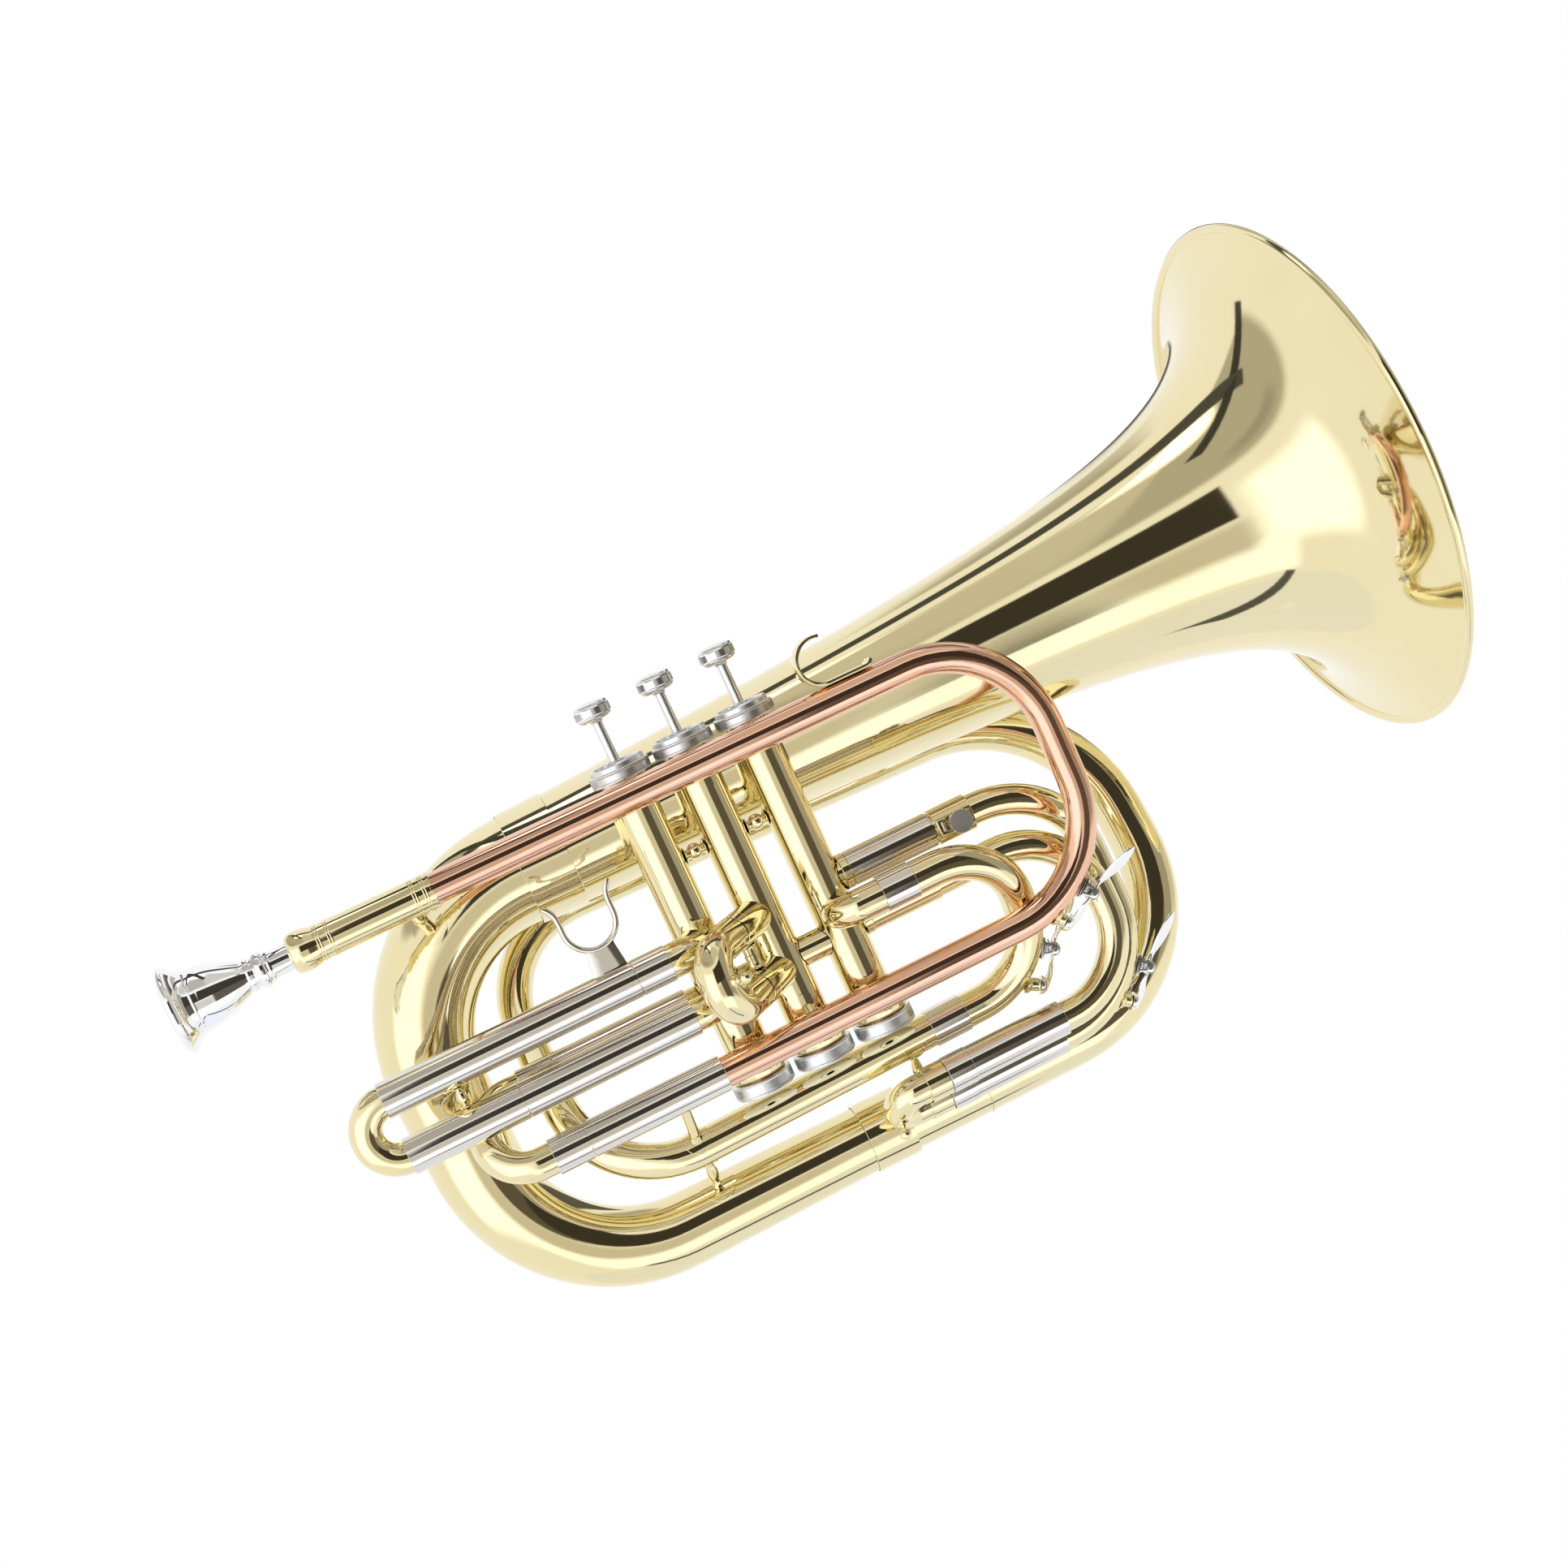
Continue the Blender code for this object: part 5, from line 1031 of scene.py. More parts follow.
@dataclass
class FirstSlide(Tubing):
    """The first valve's slide with its long nickel sleeve, thumb saddle and ball brace."""

    y: float = -0.0182
    upper_z: float = -0.0068
    lower_z: float = -0.0330
    bow_x: float = -0.1942
    end_x: float = -0.1815
    upper_seam: float = -0.0627
    lower_seam: float = -0.1278
    right_x: float = -0.0470
    inner_x: float = -0.1640
    knuckle_x: float = -0.0405
    elbow_y: float = -0.0042
    elbow_bend: float = 0.0090
    crook_upper_x: float = -0.1710
    crook_lower_x: float = -0.0540
    brace_x: float = -0.1511
    flange: float = 0.0062
    saddle_x: float = -0.0715
    ring: float = 0.0118

    def at(self, x: float, z: float) -> Vector:
        """Return a point in the slide's plane."""
        return Vector((x, self.y, z))

    def build(self) -> None:
        """Build the fixed legs, the moving tubes, the saddle and the brace."""
        self.build_fixed()
        self.build_moving()
        self.build_saddle()

    def elbow(self, left: float, z: float) -> list[Vector]:
        """Return the axis of a leg, from its left end round the elbow into the first casing."""
        corners = [self.at(left, z), self.at(self.knuckle_x, z), Vector((-VALVE_SPACING, self.elbow_y, z))]
        return route(corners, [self.elbow_bend])

    def build_fixed(self) -> None:
        """Build both fixed legs with their elbows into the casing and their ferrules."""
        legs = (("upper", self.upper_z, self.inner_x, self.upper_seam, NICKEL, "slide_1_upper_inner"),
                ("lower", self.lower_z, self.lower_seam, self.lower_seam, LACQUER, "slide_1_lower_outer"))
        for name, z, left, seam, finish, node in legs:
            points = self.elbow(left, z)
            leg = pipe(f"first_slide_{name}_leg", points, [self.radius] * len(points))
            open_at_casing(leg, -VALVE_SPACING)
            settle(leg, finish, "horn", node)
            ferrule(f"first_slide_{name}_ferrule", self.at(seam, z), self.at(self.right_x, z), self.sleeve,
                    self.sleeve_bore, NICKEL, "horn")
        points = self.elbow(self.right_x, self.upper_z)
        cover = pipe("first_slide_upper_elbow", points, [self.radius + 0.0005] * len(points))
        open_at_casing(cover, -VALVE_SPACING)
        settle(cover, LACQUER, "horn")

    def build_moving(self) -> None:
        """Build the moving nickel sleeve, the crook with its lower ferrule, and the ball brace."""
        seam = self.at(self.upper_seam - self.gap, self.upper_z)
        ferrule("first_slide_sleeve", self.at(self.end_x, self.upper_z), seam, self.sleeve, self.sleeve_bore,
                NICKEL, "slide_1", "slide_1_sleeve")
        top = self.at(self.bow_x, self.upper_z)
        low = self.at(self.bow_x, self.lower_z)
        corners = [self.at(self.crook_upper_x, self.upper_z), top, low,
                   self.at(self.crook_lower_x, self.lower_z)]
        points = route(corners, [(top - low).length / 2] * 2)
        crook = pipe("first_slide_crook", points, [self.radius] * len(points))
        settle(crook, LACQUER, "slide_1", "slide_1_crook")
        seam = self.at(self.lower_seam - self.gap, self.lower_z)
        ferrule("first_slide_lower_sleeve", self.at(self.end_x, self.lower_z), seam, self.sleeve,
                self.radius + self.fit, NICKEL, "slide_1")
        top_z = self.upper_z - self.sleeve - self.gap
        low_z = self.lower_z + self.sleeve + self.gap
        half = (top_z - low_z) / 2
        turned = [(0.0, half), (0.0030, half), (0.0024, half - 0.0006), (0.0013, half - 0.0010),
                  (0.0013, half - 0.0014), (0.0019, 0.0022), (0.0023, 0.0010)]
        profile = turned + [(0.0024, 0.0)] + [(radius, -height) for radius, height in turned[::-1]]
        brace = lathe("first_slide_ball_brace", profile, self.at(self.brace_x, (top_z + low_z) / 2), UP, 40)
        above = self.at(self.brace_x, self.upper_z)
        below = self.at(self.brace_x, self.lower_z)
        upper = laid_disc("upper", above, ALONG_X, -UP, self.sleeve, self.flange)
        lower = laid_disc("lower", below, ALONG_X, UP, self.sleeve, self.flange)
        settle(combine("first_slide_ball_brace", [brace, upper, lower]), LACQUER, "slide_1", "slide_1_brace")

    def build_saddle(self) -> None:
        """Build the thumb saddle: its plate on the sleeve and its open ring of round rod."""
        crest = self.upper_z + self.sleeve
        bottom = crest + 0.0106
        centre_z = bottom + self.ring
        arm = [(0.0155, 0.0140), (0.0146, 0.0129), (0.0134, 0.0113), (0.0125, 0.0096), (0.0120, 0.0076),
               (self.ring, 0.0052), (self.ring, 0.0026)]
        points = [self.at(self.saddle_x - across, centre_z + up) for across, up in arm]
        for i in range(25):
            angle = math.radians(-180 + 180 * i / 24)
            around = Vector((math.cos(angle), 0.0, math.sin(angle))) * self.ring
            points.append(self.at(self.saddle_x, centre_z) + around)
        points += [self.at(self.saddle_x + across, centre_z + up) for across, up in arm[::-1]]
        wire = bar("thumb_saddle_rod", points, [0.0011] + [0.0013] * (len(points) - 2) + [0.0011], 16, True)
        edge = [(0.0080, crest - 0.0016), (0.0078, crest + 0.0004), (0.0066, bottom - 0.0012),
                (0.0064, bottom + 0.0010)]
        right = [Vector((self.saddle_x + across, height)) for across, height in edge]
        left = [Vector((self.saddle_x - across, height)) for across, height in edge]
        outline = left[:1] + right + left[:0:-1]
        stand = Matrix.Translation((0, self.y, 0)) @ Matrix.Rotation(math.radians(90), 4, "X")
        plate = ribbon("thumb_saddle_plate", outline, 0.0016, stand, 0.0003)
        settle(combine("thumb_saddle", [wire, plate]), NICKEL, "slide_1")


@dataclass
class SecondSlide(Tubing):
    """The short second slide, which pulls forward and to the player's side."""

    upper_z: float = -0.0070
    lower_z: float = -0.0338
    seam: float = 0.0320
    line: float = 0.0254
    bow: float = 0.0600
    start: float = 0.0150
    split: float = 0.0007
    stay: float = 0.0235

    @staticmethod
    def heading() -> Vector:
        """Return the direction in which the slide pulls."""
        return Vector((-math.cos(SECOND_SLIDE_TURN), -math.sin(SECOND_SLIDE_TURN), 0.0))

    def build(self) -> None:
        """Build the ports on the casing, the bow with its knob, and the stay between the ports."""
        ahead = self.heading()
        wide = self.sleeve
        places = [0.0, self.line - 0.0002, self.line, self.line + 0.0002, self.seam - 0.0002, self.seam]
        radii = [wide, wide, wide - 0.00016, wide, wide, wide - 0.0002]
        for name, z in (("upper", self.upper_z), ("lower", self.lower_z)):
            leg = pipe(f"second_slide_{name}_port", [UP * z + ahead * place for place in places], radii, 48)
            open_at_casing(leg, 0.0)
            settle(leg, LACQUER, "horn", f"slide_2_{name}_knuckle")
        top = UP * self.upper_z + ahead * self.bow
        low = UP * self.lower_z + ahead * self.bow
        corners = [UP * self.upper_z + ahead * self.start, top, low, UP * self.lower_z + ahead * self.start]
        points = route(corners, [(top - low).length / 2] * 2)
        full = marks_of(points)[-1]
        first = self.seam + self.split - self.start
        points, radii = stepped(points, self.radius, self.radius, [(first, full - first, self.sleeve)])
        bow = pipe("second_slide_bow", points, radii, 48)
        settle(bow, LACQUER, "slide_2", "slide_2_bow")
        middle = (top + low) / 2
        aside = Vector((-ahead.y, ahead.x, 0.0))
        self.build_knob("second_slide_knob", middle + aside * (self.sleeve - 0.0003), aside, "slide_2")
        top_z = self.upper_z - self.sleeve + 0.0003
        low_z = self.lower_z + self.sleeve + self.gap
        half = (top_z - low_z) / 2
        side = [(0.0040, half), (0.0031, half - 0.0008), (0.0029, half - 0.0014), (0.0029, 0.0012),
                (0.0032, 0.0009), (0.0032, 0.0003)]
        profile = [(0.0, half)] + side + [(radius, -height) for radius, height in side[::-1]] + [(0.0, -half)]
        stay = lathe("second_slide_stay", profile, ahead * self.stay + UP * (top_z + low_z) / 2, UP, 40)
        settle(stay, LACQUER, "horn")

    @staticmethod
    def build_knob(name: str, foot: Vector, direction: Vector, body: str) -> None:
        """Build a small ball knob on a short collared stem.

        Args:
            name: The piece's name.
            foot: Where it stands.
            direction: Where it points.
            body: The body that it moves with.
        """
        ball = 0.0028
        arc = [(ball * math.sin(a), 0.0054 + ball * math.cos(a)) for a in
               (math.radians(150 * i / 14) for i in range(15))]
        profile = arc + [(0.0011, 0.0022), (0.0014, 0.0014), (0.0027, 0.0011), (0.0029, 0.0007),
                         (0.0029, -0.0004), (0.0, -0.0004)]
        settle(lathe(name, profile, foot, direction, 32), LACQUER, body)


@dataclass
class ThirdSlide(Tubing):
    """The third valve's crooks, its slide and the lyre holder."""

    upper_z: float = -0.0072
    lower_z: float = -0.0300
    lower_y: float = 0.0025
    port_x: float = 0.0440
    port_end: float = 0.0854
    lower_port_end: float = 0.0780
    ring: tuple[float, float] = (0.0402, 0.0437)
    outer_x: float = 0.1535
    outer_top: float = 0.0460
    outer_low: float = 0.0455
    inner_x: float = 0.1455
    inner_bow: float = 0.0370
    front: tuple[float, float] = (-0.0035, -0.1105)
    back: tuple[float, float] = (0.0125, -0.1225)
    leg_x: float = 0.1050
    seam_x: float = 0.0455
    band: float = 0.0120
    ferrule_length: float = 0.0105
    bow_x: float = 0.0207
    lyre_x: tuple[float, float] = (0.0870, 0.1043)
    lyre_y: tuple[float, float] = (-0.0100, -0.0070)
    lyre_half: float = 0.0042

    def build(self) -> None:
        """Build crooks, slide legs, bow and lyre holder."""
        self.build_crooks()
        self.build_slide()
        self.build_lyre_holder()

    def lean(self, point: Vector) -> Vector:
        """Shift a point of the outer crook back from the valve's plane to the rear leg's plane.

        Args:
            point: The point in the valve's plane.

        Returns:
            The shifted point.
        """
        start = self.outer_x - self.outer_top
        below = self.upper_z - self.outer_top
        if point.x <= start and point.z > below:
            share = 0.0
        elif point.z <= below:
            share = 1.0
        else:
            turn = min(1.0, (self.upper_z - point.z) / self.outer_top)
            share = turn * turn * (3.0 - 2.0 * turn)
        return Vector((point.x, self.back[0] * share, point.z))

    def build_crooks(self) -> None:
        """Build the outer and the inner crook with the sleeves and rings at their ports."""
        upper = (0.0, self.upper_z)
        lower = (self.lower_y, self.lower_z)
        end = self.leg_x - 0.0060
        below = (0.0, self.back[1])
        corners = [Vector((VALVE_SPACING, *upper)), Vector((self.outer_x, *upper)),
                   Vector((self.outer_x, *below)), Vector((end, *below))]
        points = [self.lean(point) for point in route(corners, [self.outer_top, self.outer_low])]
        crook = pipe("third_outer_crook", points, [self.radius] * len(points))
        open_at_casing(crook, VALVE_SPACING)
        settle(crook, LACQUER, "horn", "slide_3_outer_crook")
        corners = [Vector((VALVE_SPACING, *lower)), Vector((self.inner_x, *lower)),
                   Vector((self.inner_x, *self.front)), Vector((end, *self.front))]
        points = route(corners, [self.inner_bow] * 2)
        crook = pipe("third_inner_crook", points, [self.radius] * len(points))
        open_at_casing(crook, VALVE_SPACING)
        settle(crook, LACQUER, "horn", "slide_3_inner_crook")
        inner = self.radius + self.fit
        slim = self.sleeve - 0.0004
        rings = (("upper_port_sleeve", upper, self.port_x, self.port_end, self.sleeve, NICKEL),
                 ("lower_port_sleeve", lower, self.port_x, self.lower_port_end, slim, LACQUER),
                 ("upper_port_ring", upper, *self.ring, self.sleeve + self.fit, LACQUER),
                 ("lower_port_ring", lower, *self.ring, self.sleeve + self.fit, LACQUER))
        for name, level, left, right, size, finish in rings:
            ferrule(f"third_{name}", Vector((left, *level)), Vector((right, *level)), size, inner, finish,
                    "horn")

    def build_slide(self) -> None:
        """Build the fixed nickel legs and the short bow that pulls out of them."""
        for name, level in (("front", self.front), ("back", self.back)):
            start = Vector((self.seam_x, *level))
            ferrule(f"third_{name}_leg", start, Vector((self.leg_x, *level)), self.sleeve, self.sleeve_bore,
                    NICKEL, "horn", f"slide_3_{name}_outer")
            ferrule(f"third_{name}_leg_band", start, start + ALONG_X * self.band, self.sleeve + 0.0003,
                    self.sleeve, NICKEL, "horn")
        front = Vector((self.bow_x, *self.front))
        back = Vector((self.bow_x, *self.back))
        inner = self.leg_x - 0.0075
        corners = [Vector((inner, *self.front)), front, back, Vector((inner, *self.back))]
        points = route(corners, [(front - back).length / 2] * 2)
        bow = pipe("third_slide_bow", points, [self.radius] * len(points))
        settle(bow, LACQUER, "slide_3", "slide_3_bow")
        end = self.seam_x - self.gap
        # The back ferrule is slimmer, to pass the bottom ferrule of the bows.
        slim = self.sleeve - 0.0005
        for name, level, size in (("front", self.front, self.sleeve), ("back", self.back, slim)):
            ferrule(f"third_bow_{name}_ferrule", Vector((end - self.ferrule_length, *level)),
                    Vector((end, *level)), size, self.radius + self.fit, LACQUER, "slide_3")
        outward = Vector((-0.25, -0.55, -0.8)).normalized()
        knob = (front + back) / 2 + outward * (self.radius - 0.0003)
        SecondSlide.build_knob("third_slide_knob", knob, outward, "slide_3")

    def build_lyre_holder(self) -> None:
        """Build the lyre holder's block with its window, its band, its clamp thread and its thumbscrew."""
        low = Vector((self.lyre_x[0], self.lyre_y[0], self.upper_z - self.lyre_half))
        high = Vector((self.lyre_x[1], self.lyre_y[1], self.upper_z + self.lyre_half))
        block = slab("lyre_block", low, high, 0.0003)
        middle = (low + high) / 2
        window = slab("cutter", Vector((low.x + 0.0009, low.y - 0.0010, middle.z - 0.0031)),
                      Vector((high.x - 0.0009, high.y - 0.0002, middle.z + 0.0031)), 0.0002)
        saw(block, window)
        settle(block, LACQUER, "horn", "lyre_holder")
        band = lathe("lyre_holder_band", sleeved(self.sleeve + 0.0002, self.radius + self.fit, 0.0092),
                     Vector((middle.x, 0, self.upper_z)), ALONG_X, 56)
        saw(band, slab("cutter", Vector((low.x + 0.0012, low.y - 0.0010, middle.z - 0.0029)),
                       Vector((high.x - 0.0012, high.y - 0.0001, middle.z + 0.0029)), 0.0002))
        settle(band, LACQUER, "horn")
        ribs = [(0.0, 0.0026)]
        for i in range(6):
            crest = 0.0026 - i * 0.0009
            ribs += [(0.0009, crest), (0.0013, crest - 0.0003), (0.0009, crest - 0.0006)]
        ribs.append((0.0, -0.0026))
        spot = Vector((low.x + 0.0027, low.y + 0.0014, middle.z))
        settle(lathe("lyre_clamp_thread", ribs, spot, UP, 28), NICKEL, "horn")
        foot = Vector((middle.x + 0.0008, low.y - 0.0032, self.upper_z))
        head = [(0.0, 0.0038), (0.0052, 0.0038), (0.0055, 0.0035), (0.0055, 0.0012), (0.0052, 0.0009),
                (0.0026, 0.0009), (0.0016, 0.0007), (0.0016, -0.0052), (0.0, -0.0052)]
        teeth = 96
        screw = lathe("lyre_thumbscrew", head, foot, TO_RIGHT, teeth)
        knurl(screw, foot, TO_RIGHT, 0.0055, 0.00025, teeth, (0.0010, 0.0037))
        settle(screw, SATIN, "lyre_screw", "lyre_screw", angle=20.0)


@dataclass
class ExitTubing(Tubing):
    """Exit elbow of the third valve, the J bow and the inner branch."""

    y: float = -0.0180
    z: float = -0.0210
    elbow: float = 0.0075
    elbow_bend: float = 0.0100
    branch: float = 0.0081
    branch_end: float = 0.0086
    branch_bend: float = 0.0470
    joint_x: float = 0.0495
    bow_x: float = 0.1080
    bow: float = 0.0330
    corners: list[Vector] = field(default_factory=lambda: [
        Vector((0.0600, 0.0110, -0.0913)), Vector((-0.1158, 0.0140, -0.0945)),
        BRANCH_TOP_LEFT, BRANCH_TOP_RIGHT])

    def at(self, x: float) -> Vector:
        """Return the point at an x on the elbow's run along the horn."""
        return Vector((x, self.y, self.z))

    def low_axis(self, x: float) -> Vector:
        """Return the point at an x on the branch's lower run."""
        first, second = self.corners[:2]
        return first.lerp(second, (x - first.x) / (second.x - first.x))

    def build(self) -> None:
        """Build the elbow, the J bow, the branch and the ferrules between them."""
        corners = [Vector((VALVE_SPACING, 0, self.z)), self.at(VALVE_SPACING), self.at(0.0600)]
        points = route(corners, [self.elbow_bend])
        elbow = pipe("valve_exit_elbow", points, [self.elbow] * len(points), 36)
        open_at_casing(elbow, VALVE_SPACING)
        settle(elbow, LACQUER, "horn", "exit_elbow")
        corners = [self.at(self.joint_x), self.at(self.bow_x), self.low_axis(self.bow_x),
                   self.low_axis(0.0500)]
        points = route(corners, [self.bow] * 2)
        marks = marks_of(points)
        radii = [0.0079 + 0.0003 * mark / marks[-1] for mark in marks]
        bow = pipe("j_bow_tube", points, radii, 36)
        settle(bow, LACQUER, "horn", "j_bow")
        ferrule("j_bow_upper_ferrule", self.at(self.joint_x), self.at(0.0655), 0.0085, self.elbow + 0.0002,
                NICKEL, "horn")
        ferrule("j_bow_lower_ferrule", self.low_axis(0.0496), self.low_axis(0.0673), 0.0088, 0.0082, NICKEL,
                "horn")
        points, radii = stepped(route(self.corners, [self.branch_bend] * 2), self.branch, self.branch_end)
        settle(pipe("inner_branch_tube", points, radii, 36), LACQUER, "horn", "inner_branch")


@dataclass
class BellTubing:
    """The widening tube: front bow, back bow and bell, with the ferrules between them."""

    joint: Vector = field(default_factory=lambda: Vector((0.0150, 0.0360, -0.1305)))
    bottom_left: Vector = field(default_factory=lambda: Vector((-0.1600, 0.0360, -0.1300)))
    bottom_right: Vector = field(default_factory=lambda: Vector((0.1880, 0.0370, -0.1330)))
    tail: Vector = field(default_factory=lambda: Vector((-0.0755, 0.0450, 0.0518)))
    front_bend: float = 0.0720
    front_start: float = 0.0092
    front_end: float = 0.0152
    back_bend: float = 0.0730
    back_start: float = 0.0156
    back_bottom: float = 0.0172
    back_end: float = 0.0262
    rise: float = 1.2
    length: float = 0.4070
    rim: float = 0.1280
    offset: float = 0.0195
    power: float = 0.5117
    wall: float = 0.0009
    bead: float = 0.0021
    clearance: float = 0.00015

    def build(self) -> None:
        """Build both bows, the bell and the ferrules."""
        self.build_front_bow()
        self.build_back_bow()
        self.build_bell()

    def bottom_at(self, x: float) -> Vector:
        """Return the point at an x on the axis of the two bows' lowest run."""
        corner = self.bottom_left if x < self.joint.x else self.bottom_right
        return self.joint.lerp(corner, (x - self.joint.x) / (corner.x - self.joint.x))

    def front_corners(self) -> list[Vector]:
        """Place the corners of the front bow.

        Returns:
            The corners, from the inner branch to the bottom joint.
        """
        before = BRANCH_TOP_LEFT
        run = (BRANCH_TOP_RIGHT - before).normalized()
        start = before + run * ((0.0180 - before.x) / run.x)
        top = before + run * ((self.bottom_right.x - before.x) / run.x)
        return [start, top, self.bottom_right, self.joint + ALONG_X * self.clearance]

    def build_front_bow(self) -> None:
        """Build the front bow, which hides its first end behind the bell."""
        points = route(self.front_corners(), [self.front_bend] * 2)
        points, radii = stepped(points, self.front_start, self.front_end)
        bow = pipe("front_bow_tube", points, radii, 48)
        settle(bow, LACQUER, "horn", "front_bow")
        start, top = self.front_corners()[:2]
        ahead = (top - start).normalized()
        ferrule("front_bow_socket", start, start + ahead * 0.0180, 0.0101, self.front_start, LACQUER, "horn")

    def back_path(self) -> tuple[list[Vector], list[float]]:
        """Place the back bow's path, and let its radius grow slowly to the first bend and then faster.

        Returns:
            The path's points and the radius at each.
        """
        upper_left = Vector((self.bottom_left.x, self.tail.y, self.tail.z))
        corners = [self.joint - ALONG_X * self.clearance, self.bottom_left, upper_left,
                   self.tail - ALONG_X * self.clearance]
        points = route(corners, [self.back_bend] * 2, math.radians(4.0))
        marks = marks_of(points)
        first = marks[1]
        radii = []
        for mark in marks:
            if mark <= first:
                radii.append(self.back_start + (self.back_bottom - self.back_start) * mark / first)
            else:
                share = (mark - first) / (marks[-1] - first)
                radii.append(self.back_bottom + (self.back_end - self.back_bottom) * share)
        return points, radii

    def build_back_bow(self) -> None:
        """Build the large back bow, the bottom ferrule, and the solder lines on both sides of it."""
        points, radii = self.back_path()
        bow = pipe("back_bow_tube", points, radii, 64)
        settle(bow, LACQUER, "horn", "back_bow")
        ahead = (self.bottom_right - self.bottom_left).normalized()
        band = lathe("bottom_joint_ferrule", sleeved(0.0166, 0.0161, 0.01075), self.joint, ahead, 80)
        settle(band, LACQUER, "horn", "bottom_ferrule")
        for i, (x, radius) in enumerate(((-0.0605, 0.01655), (0.0650, 0.01490))):
            self.build_line(f"bottom_line_{i}", self.bottom_at(x), ahead, radius)

    def build_line(self, name: str, spot: Vector, ahead: Vector, radius: float) -> None:
        """Build the thin solder line where a tube section ends.

        Args:
            name: The piece's name.
            spot: Where it is on the tube's axis.
            ahead: The tube's direction.
            radius: The tube's outer radius.
        """
        profile = [(radius + 0.00022, 0.0002), (radius + 0.00022, -0.0002), (radius - 0.0002, -0.0003),
                   (radius - 0.0002, 0.0003)]
        settle(lathe(name, profile, spot, ahead, 64), LACQUER, "horn")

    def radius_at(self, distance: float) -> float:
        """Return the bell's outer radius at a distance back from its rim."""
        return self.rim * ((distance + self.offset) / self.offset) ** -self.power

    def build_bell(self) -> None:
        """Build the bell with its rolled rim, and the ferrule over its tail."""
        tilt = math.radians(self.rise)
        ahead = Vector((math.cos(tilt), 0.0, math.sin(tilt)))
        start = self.tail + ALONG_X * (self.clearance + 0.0262 * ahead.z)
        count = 60
        distances = [self.length * (i / count) ** 1.7 for i in range(count + 1)]
        outside = [(self.radius_at(distance), -distance) for distance in distances]
        inside = []
        for i, (radius, height) in enumerate(outside):
            run = (Vector(outside[min(i + 1, count)]) - Vector(outside[max(i - 1, 0)])).normalized()
            inside.append((radius + run.y * self.wall, height - run.x * self.wall))
        inside[0] = (outside[0][0] - self.wall * 0.3, outside[0][1] + self.wall)
        roll = []
        for i in range(11):
            angle = math.radians(150 - 290 * i / 10)
            radius = self.rim + self.bead * (0.35 + math.cos(angle))
            roll.append((radius, self.wall * 0.5 + self.bead * math.sin(angle)))
        profile = roll + outside[1:] + inside[:0:-1]
        bell = lathe("bell_flare", profile, start + ahead * self.length, ahead, 160)
        settle(bell, LACQUER, "horn", "bell", angle=50.0)
        half = 0.01125
        near = 0.0265
        far = self.radius_at(self.length - half) + half * ahead.z + 0.0003
        profile = [(far, half), (far + 0.0003, half), (far + 0.0005, half - 0.0002),
                   (near + 0.0005, -half + 0.0002), (near + 0.0003, -half), (near, -half)]
        band = lathe("tail_joint_ferrule", profile, self.tail, ALONG_X, 96)
        settle(band, LACQUER, "horn", "tail_ferrule")


